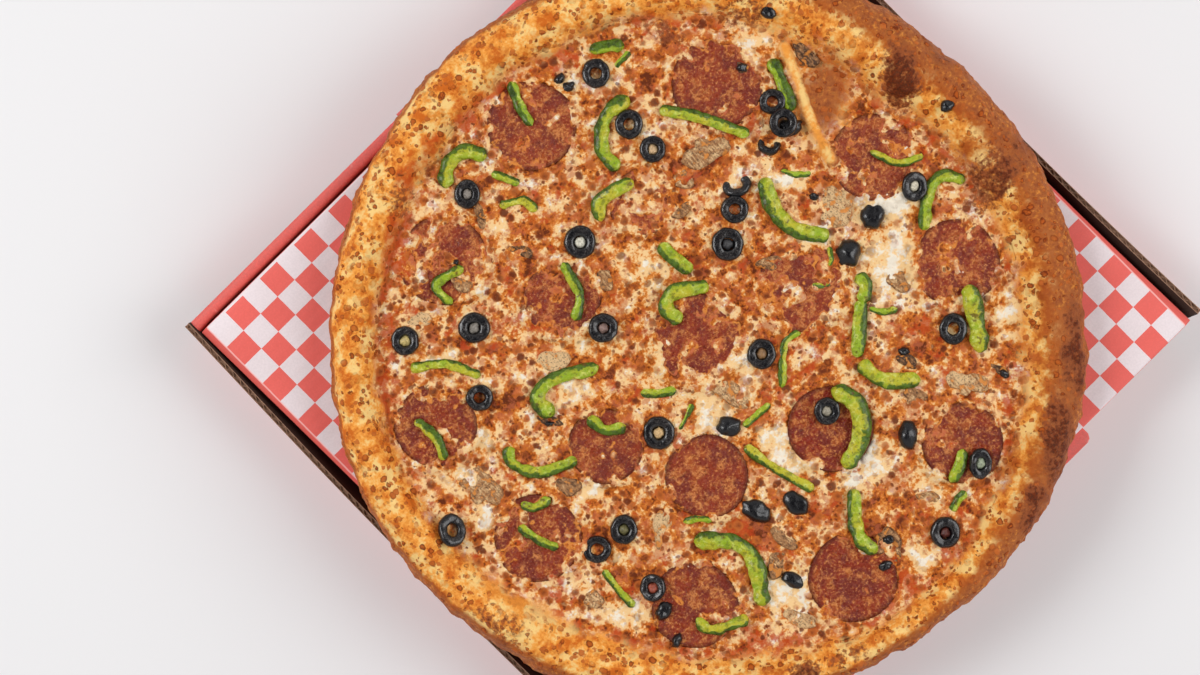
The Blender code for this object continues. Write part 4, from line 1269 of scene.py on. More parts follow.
def bake_finish(settings):
    """Baked crust and melted cheese, one running into the other."""
    finish = bpy.data.materials.get("baked")
    if finish:
        return finish
    finish, recipe, shader = new_finish("baked")
    place = recipe.reading("rest", vector=True)
    fields = bake_fields(
        recipe, place, settings.curd_size, settings.spot_size, settings.blotch_size, settings.speck_size)
    crusty, roast, char = (recipe.reading(name) for name in ("crusty", "roast", "char"))
    creamy, saucy, shade = (recipe.reading(name) for name in ("creamy", "saucy", "shade"))
    cloud, grain = fields["cloud"], fields["grain"]

    # Gold of the rim, orange in its hollows and brown where it has baked longest; the toast and side browns
    # are also laid on as painted shade on the side away from the light.
    tone = recipe.varied(cloud, fields["curd"], 0.6)
    tone = recipe.varied(tone, grain, 0.4)
    rim = recipe.over(settings.crust_light, settings.crust_gold, tone, 0.34, 0.52)
    rim = recipe.over(rim, settings.crust_deep, tone, 0.48, 0.70)
    stain = recipe.varied(saucy, fields["curd"], 1.5)
    rim = recipe.over(rim, settings.stain, stain, 0.20, 0.90, 0.0, 0.9)
    plain = recipe.reading("plain")
    clean = recipe.over(settings.crust_light, settings.crust_gold, tone, 0.4, 0.6)
    rim = recipe.mix(recipe.times(plain, 0.9), rim, clean)
    fleck = recipe.noise(place, 0.0011, 4.0, 0.7)
    toasting_and_shade = recipe.varied(roast, cloud, 0.8)
    toasting_and_shade = recipe.varied(toasting_and_shade, fields["curd"], 0.7)
    rim = recipe.over(rim, settings.toast, toasting_and_shade, 0.12, 0.62, 0.0, 0.9)
    tooth = recipe.noise(recipe.wobbled(place, 0.002, 0.0016), 0.0026, 3.0, 0.6)
    side = recipe.over(settings.scorch, settings.crust_side, tooth, 0.34, 0.50)
    side = recipe.over(side, settings.crust_gold, tooth, 0.50, 0.68, 0.0, 0.6)
    side = recipe.over(side, settings.blister_edge, fleck, 0.30, 0.44, 0.5, 0.0)
    rim = recipe.over(rim, side, toasting_and_shade, 0.52, 0.90, 0.0, 0.85)

    melt = melt_colour(recipe, place, fields, settings, creamy, saucy, shade)
    ground = recipe.mix(crusty, melt, rim)
    clear = recipe.math("SUBTRACT", 1.0, recipe.times(creamy, 0.85), clamp=True)
    bare = recipe.math("SUBTRACT", 1.0, plain, clamp=True)
    flock = recipe.noise(place, 0.014, 2.0)
    cluster = recipe.times(recipe.ease(flock, 0.30, 0.50, 0.30, 1.0), bare)
    kept = {
        "blotch": recipe.between(crusty, clear, recipe.times(bare, 0.25)),
        "spot": recipe.between(crusty, recipe.times(clear, 0.8), cluster),
        "speck": recipe.between(crusty, clear, cluster)}
    colour = blistered(recipe, ground, crusty, fields, settings, kept)

    # Charred patches.
    charred = recipe.varied(recipe.times(char, 0.78), tooth, 2.0)
    charred = recipe.varied(charred, cloud, 1.4)
    charred = recipe.times(charred, recipe.ease(char, 0.02, 0.25))
    colour = recipe.over(colour, settings.scorch, charred, 0.12, 0.50, 0.0, 0.85)
    scorched = recipe.over(settings.char, settings.blister_edge, fleck, 0.35, 0.65)
    colour = recipe.over(colour, scorched, charred, 0.42, 0.85, 0.0, 0.9)

    dry = recipe.between(crusty, 0.30, 0.46)
    surfaced(recipe, shader, colour, recipe.math("MULTIPLY_ADD", grain, 0.20, dry), 0.13)
    inside = recipe.ease(fields["spot"], 0.62, 1.05, 0.5, 0.0)
    fine = recipe.math("MULTIPLY_ADD", fleck, 0.8, inside)
    fine = recipe.math("MULTIPLY_ADD", fields["curd"], 1.4, fine)
    fine = recipe.math("MULTIPLY_ADD", recipe.times(tooth, char), 1.8, fine)
    bumped(recipe, shader, fine, 0.0011, 0.8)
    return finish


def polar(x, y):
    """Angle and distance from the pizza's centre."""
    dx, dy = x - PIZZA_CENTRE[0], y - PIZZA_CENTRE[1]
    return np.arctan2(dy, dx), np.hypot(dx, dy)


def from_centre(reach, angle):
    """Places at distances and angles from the pizza's centre."""
    return PIZZA_CENTRE[0] + reach * np.cos(angle), PIZZA_CENTRE[1] + reach * np.sin(angle)


def rim_share(x, y):
    """How far in from the outline a place is, in widths of the rim."""
    angle, reach = polar(x, y)
    radius, width, _ = rim_shape(angle)
    return (radius - reach) / width


def placed_values(x, y):
    """Values of the listed patches that crust and cheese share."""
    strand = np.exp(-((beside(x, y, STRAND) / STRAND_WIDTH) ** 4))
    inward = rim_share(x, y)
    ring = np.exp(-(((inward - 1.0 + 0.06 * soft_noise(x, y, 0.02, 31)) / 0.12) ** 2))
    patchy = 0.30 + 0.4 * soft_noise(x, y, 0.035, 32) + 0.4 * soft_noise(x, y, 0.007, 33)
    ring = ring * np.clip(patchy + swell(polar(x, y)[0], STAIN_SWELLS), 0, 1)
    clear = 1 - strand
    return {
        "char": ovals(x, y, CHARRED) * clear, "creamy": ovals(x, y, CREAMY), "shade": ovals(x, y, DARKENED),
        "saucy": np.maximum(ovals(x, y, SAUCY), ring) * clear,
        "plain": np.maximum(ovals(x, y, SMOOTH), strand), "toasted": ovals(x, y, TOASTED) * clear}, strand


def dip(x, y, across, down, wide, high, turn):
    """Oval that is one in its middle and falls off steeply at its edge."""
    a, b = in_picture(x, y, across, down, turn)
    return np.exp(-(((a / wide) ** 2 + (b / high) ** 2) ** 2))


def dents(x, y):
    """Depth of the hollows between the bubbles."""
    depth = np.zeros_like(x)
    for *oval, deep in DENTS:
        depth = np.maximum(depth, deep * dip(x, y, *oval))
    return depth


def rim_level(x, y, height, upward):
    """Height of the rim's surface at a share of the rim's own height."""
    return PIZZA_FOOT + (height + bubble_rise(x, y) - dents(x, y)) * upward


def crust_share(x, y, inward):
    """How much a place is crust rather than cheese."""
    return 1 - soft_step(inward + 0.10 * soft_noise(x, y, 0.009, 11), 0.80, 1.02)


def slice_reach(sizes, angle, number):
    """Uneven radius of a pepperoni slice at angles."""
    return sum(sizes) / 2 * (1 + 0.012 * np.sin(3 * angle + number) + 0.008 * np.sin(5 * angle + 2 * number))


def slice_shape(x, y, name, number):
    """Share of the radius, height of the top and cover of cheese of a pepperoni slice at places."""
    centre, sizes, slope, foot, top = node_disc(name)
    dx, dy = x - centre[0], y - centre[1]
    angle = np.arctan2(dy, dx)
    reach = slice_reach(sizes, angle, number)
    share = np.hypot(dx, dy) / reach
    lift = (top - foot - 0.0022) * (0.5 + 0.5 * np.sin(2 * angle + number * 1.7)) * np.minimum(share, 1) ** 4
    bumps = 0.00035 * soft_noise(x, y, 0.0042, number) + 0.00022 * soft_noise(x, y, 0.0017, number + 40)
    height = foot + dx * slope[0] + dy * slope[1] + SLICE_THICKNESS + lift + bumps
    wanted = soft_noise(x, y, 0.0105, number + 70) * 0.5 + soft_noise(x, y, 0.0045, number + 80) * 0.35
    wanted += 0.20 * soft_noise(x, y, 0.0022, number + 90) + 0.34 * soft_step(share, 0.70, 1.0)
    amount = 1.35 * PEPPERONI_LOOKS[number][0]
    return share, height, soft_step(wanted, 0.62 - amount, 1.02 - amount)


class PIZZA_OT_crust(bpy.types.Operator):
    """Build the dough: a puffed rim with bubbles, lumps and browned blisters round a flat floor"""

    bl_idname = "pizza.build_crust"
    bl_label = "Baked crust"

    def execute(self, context):
        settings = context.scene.pizza_bake
        profile = rounded(RIM_PROFILE, RIM_STEPS)
        angle = round_angles(RIM_SIDES)
        radius, width, height = (part[None, :] for part in rim_shape(angle))
        inward, upward = profile[:, :1], np.clip(profile[:, 1:], 0, None)
        reach = radius - inward * width
        x, y = from_centre(reach, angle)
        run = angle * 0.2 + 9
        outline = soft_noise(run, angle * 0 + 1, 0.011, 3) + 0.5 * soft_noise(run, angle * 0, 0.004, 4)
        push = 0.0007 * outline[None, :] * (upward > 0.05)
        x, y = x + push * np.cos(angle), y + push * np.sin(angle)
        values, strand = placed_values(x, y)
        z = rim_level(x, y, height, upward) + strand * STRAND_HEIGHT * (upward > 0.3)
        foot = (*PIZZA_CENTRE, PIZZA_FOOT)
        floor = (*PIZZA_CENTRE, PIZZA_FOOT + DOUGH_THICKNESS)
        points = shell_points(x, y, z, foot, floor)
        finish = bake_finish(settings)
        piece = from_faces("crust_baked", points, skin_faces(len(profile), RIM_SIDES, poles=True), finish)
        # Browning from outside, largest on the side away from the key light, where it is also painted shade.
        deep = 0.05 + swell(angle, ROAST_AND_SHADE_SWELLS)[None, :]
        roast = 1 - soft_step(inward, deep * 0.5, deep * 1.7 + 0.06)
        low = 1 - soft_step(upward, 0.10 + deep * 0.8, 0.42 + deep * 0.8)
        values["roast"] = np.maximum(np.maximum(roast * 0.85, low * (inward < 0.4)), values.pop("toasted"))
        values["crusty"] = crust_share(x, y, inward)
        values["shown"] = np.where((inward > 0.25) & (upward < 0.06), 0.0, 1.0) * np.ones_like(x)
        for name, each in values.items():
            values[name] = np.append(np.broadcast_to(each, x.shape).ravel(), [0, 0])
        keep_values(piece, **values)
        grown(piece, bake_relief("crust_relief"), bake_values(settings, finish))
        hand_over(piece, ["crust"])
        return {"FINISHED"}


class PIZZA_OT_cheese(bpy.types.Operator):
    """Build the melted cheese and sauce, which runs up the inside of the rim and round the toppings"""

    bl_idname = "pizza.build_cheese"
    bl_label = "Melted cheese"

    def execute(self, context):
        settings = context.scene.pizza_bake
        side = np.linspace(-1, 1, CHEESE_SIDE)
        u, v = np.meshgrid(side, side, indexing="ij")
        a, b = u * np.sqrt(1 - v * v / 2), v * np.sqrt(1 - u * u / 2)
        angle, share = np.arctan2(b, a), np.hypot(a, b)
        radius, width, height = rim_shape(angle)
        reach = share * (radius - 0.86 * width)
        x, y = from_centre(reach, angle)
        inward = rim_share(x, y)
        profile = rounded(RIM_PROFILE, 12)
        inner = profile[profile[:, 0] > 0.5]
        slope = rim_level(x, y, height, np.interp(inward, inner[:, 0], inner[:, 1]))
        slope += 0.0004 + 0.0004 * soft_noise(x, y, 0.006, 21)
        edge = soft_step(inward, 0.86, 0.91)
        level = self.level(x, y)
        z = np.maximum(level, slope) + 0.0004 * np.exp(-(((level - slope) / 0.0015) ** 2))
        z -= (1 - edge) * 0.0016
        values, strand = placed_values(x, y)
        z += strand * STRAND_HEIGHT
        piece = self.slab(np.stack([x, y, z], -1), bake_finish(settings))
        crusty = crust_share(x, y, inward)
        values["crusty"] = np.maximum(np.maximum(crusty, dip(x, y, *HOLLOW)), strand)
        values["roast"] = values.pop("toasted")
        values["shown"] = np.ones_like(x) * (0.35 + 0.65 * edge)
        border = self.border()
        for name, each in values.items():
            flat = each.ravel()
            values[name] = np.concatenate([flat, flat[border] * 0, [0]])
        keep_values(piece, **values)
        grown(piece, bake_relief("cheese_relief"), bake_values(settings, bake_finish(settings)))
        hand_over(piece, ["cheese"])
        return {"FINISHED"}

    def level(self, x, y):
        """Height of the cheese, higher round the pepperoni that has sunk into it."""
        wave = np.sin(x / 0.021 + 1.3) * np.sin(y / 0.018) + np.sin((x + y) / 0.027) * 0.8
        z = CHEESE_BED + CHEESE_THICKNESS + 0.0005 * wave
        for number, name in enumerate(nodes_named("pepperoni_")):
            share, height, cover = slice_shape(x, y, name, number)
            cover = np.where(share > 1, np.maximum(cover, 0.62), cover)
            lap = height - 0.0024 * (1 - cover) + 0.0008 * cover
            near = 1 - soft_step(share, 1.0, 1.30)
            z = z * (1 - near) + np.maximum(z, lap) * near
        for name in nodes_named("olive_"):
            centre, sizes, _, _, _ = node_disc(name)
            away = np.hypot(x - centre[0], y - centre[1]) - sum(sizes) / 2
            z += 0.0010 * np.exp(-((away / 0.0022) ** 2))
        return z

    def border(self):
        """Numbers of the grid's outer points, once round."""
        index = np.arange(CHEESE_SIDE ** 2).reshape(CHEESE_SIDE, CHEESE_SIDE)
        return np.concatenate([index[:-1, 0], index[-1, :-1], index[:0:-1, -1], index[0, :0:-1]])

    def slab(self, grid, finish):
        """Closed slab under a grid of points."""
        points = grid.reshape(-1, 3)
        border = self.border()
        under = points[border] * (1, 1, 0) + (0, 0, CHEESE_BED)
        points = np.vstack([points, under, (*PIZZA_CENTRE, CHEESE_BED)])
        index = np.arange(CHEESE_SIDE ** 2).reshape(CHEESE_SIDE, CHEESE_SIDE)
        corners = [index[:-1, :-1], index[1:, :-1], index[1:, 1:], index[:-1, 1:]]
        faces = np.stack(corners, -1).reshape(-1, 4).tolist()
        start = CHEESE_SIDE ** 2
        low = start + np.arange(len(border))
        after, low_after = np.roll(border, -1), np.roll(low, -1)
        faces += np.stack([border, low, low_after, after], 1).tolist()
        middle = start + len(border)
        faces += [[one, middle, two] for one, two in zip(low.tolist(), low_after.tolist())]
        return from_faces("cheese_melted", points, faces, finish)


def pepperoni_finish(settings, bake):
    """Pepperoni with flecks of fat, a darker edge and a thin film of cheese that has run over it."""
    finish, recipe, shader = new_finish("pepperoni")
    place = object_place(recipe)
    cover, red, edge = (recipe.reading(name) for name in ("cover", "red", "edge"))
    fleck = recipe.noise(place, 0.0016, 4.0, 0.65)
    cloud = recipe.noise(place, 0.0065, 3.0)
    grease = recipe.noise(recipe.wobbled(place, 0.003, 0.003), 0.0040, 2.5, 0.55)
    ridge = recipe.math("ABSOLUTE", recipe.math("SUBTRACT", grease, 0.5))
    meat = recipe.mix(red, settings.meat, settings.meat_red)
    meat = recipe.over(meat, settings.meat_dark, recipe.noise(place, 0.0105, 2.0), 0.42, 0.60, 0.0, 0.75)
    meat = recipe.over(meat, settings.meat_tan, cloud, 0.48, 0.66, 0.0, 0.6)
    glaze = recipe.ease(ridge, 0.0, 0.08, 0.55, 0.0)
    glaze = recipe.times(glaze, recipe.ease(cloud, 0.42, 0.62, 0.0, 1.0))
    meat = recipe.mix(glaze, meat, settings.meat_fat)
    meat = recipe.over(meat, settings.meat_fat, fleck, 0.55, 0.67, 0.0, 0.7)
    meat = recipe.over(meat, settings.meat_edge, fleck, 0.32, 0.45, 0.7, 0.0)
    meat = recipe.over(meat, settings.meat_edge, edge, 0.87, 0.98, 0.0, 0.7)
    spot, _ = recipe.blisters(recipe.wobbled(place, 0.0030, 0.0018), 0.0042, 0.6, 0.25, 0.5)
    cheese = recipe.over(bake.gold, bake.rosy, cloud, 0.40, 0.60)
    cheese = recipe.over(cheese, bake.blister_edge, spot, 0.6, 1.0, 0.85, 0.0)
    broken = recipe.varied(cover, grease, 1.6)
    covered = recipe.ease(broken, 0.22, 0.62, 0.0, 0.8)
    colour = recipe.mix(covered, meat, cheese)
    surfaced(recipe, shader, colour, recipe.ease(fleck, 0.35, 0.65, 0.20, 0.42), 0.2)
    relief = recipe.math("MULTIPLY_ADD", grease, 1.8, recipe.times(fleck, 0.5))
    bumped(recipe, shader, relief, 0.0012, 0.9)
    return finish


class PIZZA_OT_pepperoni(bpy.types.Operator):
    """Build the pepperoni slices, each cupped a little, with cheese run over some of them"""

    bl_idname = "pizza.build_pepperoni"
    bl_label = "Pepperoni slices"

    def execute(self, context):
        finish = pepperoni_finish(context.scene.pizza_toppings, context.scene.pizza_bake)
        names = nodes_named("pepperoni_")
        points, faces = [], []
        kept = {"cover": [], "red": [], "edge": []}
        for number, name in enumerate(names):
            ring, new_faces, values = self.slice(name, number, sum(map(len, points)))
            points.append(ring)
            faces += new_faces
            for key, numbers in values.items():
                kept[key].append(numbers)
        piece = from_faces("pepperoni_slices", np.vstack(points), faces, finish)
        keep_values(piece, **{key: np.concatenate(numbers) for key, numbers in kept.items()})
        hand_over(piece, names)
        return {"FINISHED"}

    def slice(self, name, number, first):
        """Points, faces and values of one slice in its node's place."""
        centre, sizes, slope, foot, _ = node_disc(name)
        red = PEPPERONI_LOOKS[number][1]
        sides = 96
        angle = round_angles(sides)
        under = [(0.4, 0.0), (0.8, 0.0), (0.97, 0.1)]
        rim = [(1.0, 0.4), (1.005, 0.7), (0.985, 0.97), (0.955, 1.0)]
        inner = [(share, 1.0) for share in np.linspace(0.92, 0.05, 20)]
        shape = np.array(under + rim + inner)
        share, upward = shape[:, :1], shape[:, 1:]
        reach = slice_reach(sizes, angle, number)
        x = centre[0] + share * reach * np.cos(angle)
        y = centre[1] + share * reach * np.sin(angle)
        _, height, cover = slice_shape(x, y, name, number)
        bed = foot + (x - centre[0]) * slope[0] + (y - centre[1]) * slope[1]
        z = bed + (height - bed) * upward
        low = (centre[0], centre[1], foot)
        high = (centre[0], centre[1], z[-1].mean())
        points = shell_points(x, y, z, low, high)
        faces = skin_faces(len(shape), sides, poles=True, first=first)
        values = {
            "cover": np.append(cover, [0, cover[-1].mean()]), "red": np.full(len(points), red),
            "edge": np.append(share * np.ones_like(x), [0, 0])}
        return points, faces, values


def olive_finish(settings):
    """Glossy black olive with a duller cut face."""
    finish, recipe, shader = new_finish("olive")
    cut = recipe.reading("cut")
    place = object_place(recipe)
    grain = recipe.noise(place, 0.0010, 3.0, 0.6)
    patch = recipe.noise(place, 0.0035, 2.0)
    flesh = recipe.over(settings.olive_flesh, settings.olive_pale, grain, 0.5, 0.72, 0.0, 0.6)
    face = recipe.ease(cut, 0.35, 0.75)
    shown = recipe.times(face, recipe.ease(patch, 0.35, 0.6))
    colour = recipe.mix(shown, settings.olive_skin, flesh)
    surfaced(recipe, shader, colour, recipe.ease(grain, 0.3, 0.7, 0.16, 0.40), 0.35)
    shader.inputs["Coat Weight"].default_value = 0.45
    shader.inputs["Coat Roughness"].default_value = 0.08
    bumped(recipe, shader, grain, 0.0004, 0.6)
    return finish


def plain_finish(name, colour):
    """Small scraps of one colour, mottled."""
    finish, recipe, shader = new_finish(name)
    place = object_place(recipe)
    grain = recipe.noise(place, 0.0012, 3.0, 0.65)
    dark = tuple(part * 0.5 for part in colour)
    surfaced(recipe, shader, recipe.over(dark, colour, grain, 0.3, 0.65), 0.5)
    bumped(recipe, shader, grain, 0.0004, 0.5)
    return finish


def facing(slope, turn=0.0):
    """Turns, as Euler angles, of a ring that lies on a sloping plane."""
    up = Vector((-slope[0], -slope[1], 1)).normalized()
    side = Vector((math.cos(turn), math.sin(turn), 0))
    side = (side - up * side.dot(up)).normalized()
    return Matrix((side, up.cross(side), up)).transposed().to_euler()


class PIZZA_OT_olives(bpy.types.Operator):
    """Build the olive slices: one ring on each place, sized and turned, and what shows in their holes"""

    bl_idname = "pizza.build_olives"
    bl_label = "Olive slices"

    def execute(self, context):
        settings = context.scene.pizza_toppings
        finish = olive_finish(settings)
        ring = self.ring(finish)
        places, turns, sizes = self.places()
        spots = bpy.data.meshes.new("olive_slices")
        spots.from_pydata(places, [], [])
        piece = linked("olive_slices", spots)
        for name, rows in (("turn", turns), ("size", sizes)):
            layer = spots.attributes.new(name, "FLOAT_VECTOR", "POINT")
            layer.data.foreach_set("vector", np.asarray(rows, np.float32).ravel())
        inputs = (("Ring", "Object"), ("Unevenness", "Float"), ("Finish", "Material"))
        recipe, given, out = shape_tree("olive_places", inputs)
        model = recipe.add("GeometryNodeObjectInfo", {"Object": given["Ring"]}).outputs["Geometry"]
        turn = recipe.add("FunctionNodeEulerToRotation", {0: recipe.reading("turn", vector=True)}).outputs[0]
        placed = recipe.add("GeometryNodeInstanceOnPoints", {
            "Points": given["Geometry"], "Instance": model, "Rotation": turn,
            "Scale": recipe.reading("size", vector=True)}).outputs[0]
        real = recipe.add("GeometryNodeRealizeInstances", {0: placed}).outputs[0]
        moved = recipe.shaken(real, 0.004, given["Unevenness"])
        finish_shape(recipe, moved, given["Finish"], out)
        grown(piece, recipe, {"Ring": ring, "Unevenness": OLIVE_UNEVENNESS, "Finish": finish})
        bpy.data.objects.remove(ring, do_unlink=True)
        hand_over(piece, nodes_named("olive_"))
        self.fillings(places)
        return {"FINISHED"}

    def ring(self, finish):
        """Slice of an olive of unit radius and height, with its hole."""
        section = rounded((
            (0.40, 0.05), (0.66, 0.0), (0.90, 0.06), (0.99, 0.35), (0.98, 0.70), (0.88, 0.96), (0.70, 1.0),
            (0.53, 0.95), (0.42, 0.82), (0.38, 0.45)), 2, closed=True)
        sides = 40
        angle = round_angles(sides)
        share, upward = section[:, :1], section[:, 1:]
        points = np.stack([share * np.cos(angle), share * np.sin(angle), upward * np.ones(sides)], -1)
        faces = skin_faces(len(section), sides, wrap=True)
        piece = from_faces("olive_ring", points.reshape(-1, 3), faces, finish)
        cut = np.where((upward > 0.86) & (share < 0.90), 1.0, 0.0) * np.ones(sides)
        keep_values(piece, cut=cut)
        return piece

    def places(self):
        """Places, turns and sizes of the whole slices and of those half sunk in the cheese."""
        places, turns, sizes = [], [], []
        for name in nodes_named("olive_"):
            centre, half, slope, foot, top = node_disc(name)
            places.append((centre[0], centre[1], foot - 0.0004))
            turns.append(facing(slope, VIEW_TURN))
            sizes.append((half[1], half[0], (top - foot) * 0.96))
        bed = tree_of("crust_baked", "cheese_melted")
        for across, down, wide, high, tilt, heading in SMALL_OLIVES:
            x, y = on_view(across, down)
            level = top_at(bed, x, y)
            lean = math.tan(math.radians(tilt))
            way = VIEW_TURN + math.radians(heading)
            places.append((x, y, level - SMALL_OLIVE_SINK - 0.002 * math.sin(math.radians(tilt))))
            turns.append(facing((lean * math.cos(way), lean * math.sin(way)), way))
            sizes.append((high * VIEW_STEP, wide * VIEW_STEP, SMALL_OLIVE_HEIGHT))
        return places, turns, sizes

    def fillings(self, places):
        """Bits of cheese, sauce and brine in the holes of some slices."""
        parts = []
        for number, colour in OLIVE_FILLINGS:
            x, y, z = places[number - 1]
            name = f"filling_{number:02d}"
            finish = plain_finish(name, paint(*colour))
            parts.append(pebble(name, (x, y, z), *FILLING_SIZE, 0.0, number, finish))
        hand_over(joined("olive_fillings", parts))


def pebble(name, place, wide, high, tall, turn, seed, finish):
    """Small uneven mound."""
    angle = round_angles(PEBBLE_SIDES)
    section = np.array(PEBBLE_PROFILE)
    share, upward = section[:, :1], section[:, 1:]
    uneven = 1 + 0.16 * soft_noise(np.cos(angle) * 2 + 7, np.sin(angle) * 2 + 7, 0.9, seed)
    a, b = share * uneven * wide * np.cos(angle), share * uneven * high * np.sin(angle)
    x = place[0] + a * math.cos(turn) - b * math.sin(turn)
    y = place[1] + a * math.sin(turn) + b * math.cos(turn)
    z = place[2] + upward * tall * (1 + 0.25 * soft_noise(x, y, wide * 0.7, seed + 1))
    points = shell_points(x, y, z, place, (*place[:2], z[-1].mean()))
    return from_faces(name, points, skin_faces(len(section), PEBBLE_SIDES, poles=True), finish)


def pepper_finish(settings):
    """Strip of green pepper: skin along one side, wet flesh across the rest."""
    finish, recipe, shader = new_finish("pepper")
    place = object_place(recipe)
    skin, ripe = recipe.reading("skin"), recipe.reading("ripe")
    grain = recipe.noise(place, 0.0016, 3.0, 0.6)
    cloud = recipe.noise(place, 0.0065, 2.0)
    patch = recipe.noise(place, 0.0034, 3.0, 0.6)
    tone = recipe.varied(ripe, cloud, 2.2)
    flesh = recipe.over(settings.pepper_flesh, settings.pepper_ripe, tone, 0.0, 1.0)
    # Painted highlight: pale patches over the flesh.
    flesh = recipe.over(flesh, settings.pepper_pale_highlight, patch, 0.52, 0.66, 0.0, 0.7)
    flesh = recipe.over(flesh, settings.pepper_dull, patch, 0.34, 0.46, 0.6, 0.0)
    peel = recipe.over(settings.pepper_deep, settings.pepper_skin, patch, 0.38, 0.60)
    side = recipe.varied(skin, patch, 0.9)
    side = recipe.varied(side, cloud, 0.8)
    colour = recipe.over(flesh, peel, side, 0.36, 0.56)
    scorched = recipe.ease(recipe.noise(place, 0.0045, 3.0, 0.6), 0.60, 0.72, 0.0, 0.8)
    colour = recipe.mix(scorched, colour, settings.pepper_scorch)
    surfaced(recipe, shader, colour, recipe.ease(grain, 0.3, 0.7, 0.18, 0.40), 0.25)
    shader.inputs["Coat Weight"].default_value = 0.25
    shader.inputs["Coat Roughness"].default_value = 0.10
    bumped(recipe, shader, recipe.math("MULTIPLY_ADD", patch, 1.6, grain), 0.0012, 0.8)
    return finish


class PIZZA_OT_peppers(bpy.types.Operator):
    """Build the pepper strips: one section swept along each strip's line over what lies under it"""

    bl_idname = "pizza.build_peppers"
    bl_label = "Pepper strips"

    def execute(self, context):
        finish = pepper_finish(context.scene.pizza_toppings)
        bed = tree_of("crust_baked", "cheese_melted")
        high_bed = bed + tree_of("pepperoni_slices")
        recipe = self.sweep()
        guides = [self.guide(strip, high_bed, 0.0) for strip in HIGH_PEPPERS]
        guides += [self.guide(strip, bed, PEPPER_SINK) for strip in LOW_PEPPERS]
        lines = joined("pepper_strips", guides)
        grown(lines, recipe, {
            "Sides": PEPPER_SIDES, "Height": PEPPER_HEIGHT,
            "Unevenness": PEPPER_UNEVENNESS, "Finish": finish})
        hand_over(lines, nodes_named("pepper_"))
        return {"FINISHED"}

    def guide(self, strip, bed, sink):
        """Line of one strip, with its width and which side its skin is on."""
        width, peel, ripe = strip[0] * VIEW_STEP, strip[1], strip[2]
        route = rounded([on_view(*place) for place in strip[3:]], 24)
        lengths = np.append(0, np.cumsum(np.hypot(*np.diff(route, axis=0).T)))
        count = max(8, round(lengths[-1] / PEPPER_SPACING))
        goals = np.linspace(0, lengths[-1], count + 1)
        path = np.stack([np.interp(goals, lengths, route[:, k]) for k in (0, 1)], 1)
        runs = np.gradient(path, axis=0)
        runs /= np.hypot(*runs.T)[:, None]
        side = np.stack([-runs[:, 1], runs[:, 0]], 1)
        floor = np.array([
            np.mean([top_at(bed, *(place + cross * width * share)) for share in (-0.3, 0, 0.3)])
            for place, cross in zip(path, side)])
        for _ in range(3):
            padded = np.pad(floor, 1, mode="edge")
            floor = np.maximum(floor, (padded[:-2] + padded[2:]) / 2)
        ends = np.minimum(goals, lengths[-1] - goals) / (width * 0.4)
        taper = np.sqrt(np.clip(1 - (1 - np.clip(ends, 0, 1)) ** 2, 0.10, 1))
        seed = int(strip[3][0])
        uneven = 1 + 0.16 * soft_noise(goals, goals * 0 + seed, 0.005, seed)
        half = width / 2 * taper * uneven
        lift = 0.0004 * soft_noise(goals, goals * 0, 0.012, seed + 1)
        z = floor - sink + half * PEPPER_HEIGHT + lift
        turning = np.sum(runs[:-1, 0] * runs[1:, 1] - runs[:-1, 1] * runs[1:, 0])
        mesh = bpy.data.meshes.new("strip")
        points = np.column_stack([path, z])
        mesh.from_pydata(points.tolist(), [(k, k + 1) for k in range(count)], [])
        line = linked("strip", mesh)
        ones = np.ones(count + 1)
        outer = ones if turning > 0 else -ones
        keep_values(line, half=half, peel=ones * peel, ripe=ones * ripe, outer=outer)
        return line

    def sweep(self):
        """Tree that sweeps a rounded section along each line."""
        inputs = (("Sides", "Int"), ("Height", "Float"), ("Unevenness", "Float"), ("Finish", "Material"))
        recipe, given, out = shape_tree("pepper_sweep", inputs)
        line = recipe.add("GeometryNodeMeshToCurve", {0: given["Geometry"]}).outputs[0]
        line = recipe.add("GeometryNodeSetCurveNormal", {0: line}, mode="Z_UP").outputs[0]
        feeds = {"Resolution": given["Sides"], "Radius": 1.0}
        circle = recipe.add("GeometryNodeCurvePrimitiveCircle", feeds).outputs[0]
        spot = recipe.add("GeometryNodeInputPosition").outputs[0]
        split = recipe.add("ShaderNodeSeparateXYZ", {0: spot})
        circle = recipe.keep(circle, "across", split.outputs[0])
        circle = recipe.keep(circle, "above", split.outputs[1])
        low = recipe.times(split.outputs[1], given["Height"])
        flat = recipe.add("ShaderNodeCombineXYZ", {0: split.outputs[0], 1: low})
        feeds = {"Geometry": circle, "Position": flat.outputs[0]}
        circle = recipe.add("GeometryNodeSetPosition", feeds).outputs[0]
        feeds = {"Curve": line, "Profile Curve": circle, "Scale": recipe.reading("half"), "Fill Caps": True}
        swept = recipe.add("GeometryNodeCurveToMesh", feeds).outputs[0]
        outward = recipe.times(recipe.reading("across"), recipe.reading("outer"))
        level = recipe.math("MULTIPLY_ADD", recipe.reading("peel"), 0.6, 0.10)
        shown = recipe.math("MULTIPLY_ADD", outward, 0.55, level)
        swept = recipe.keep(swept, "skin", shown)
        moved = recipe.shaken(swept, 0.0042, given["Unevenness"])
        smooth = recipe.add("GeometryNodeSetShadeSmooth", {"Geometry": moved}).outputs[0]
        finish_shape(recipe, smooth, given["Finish"], out)
        return recipe


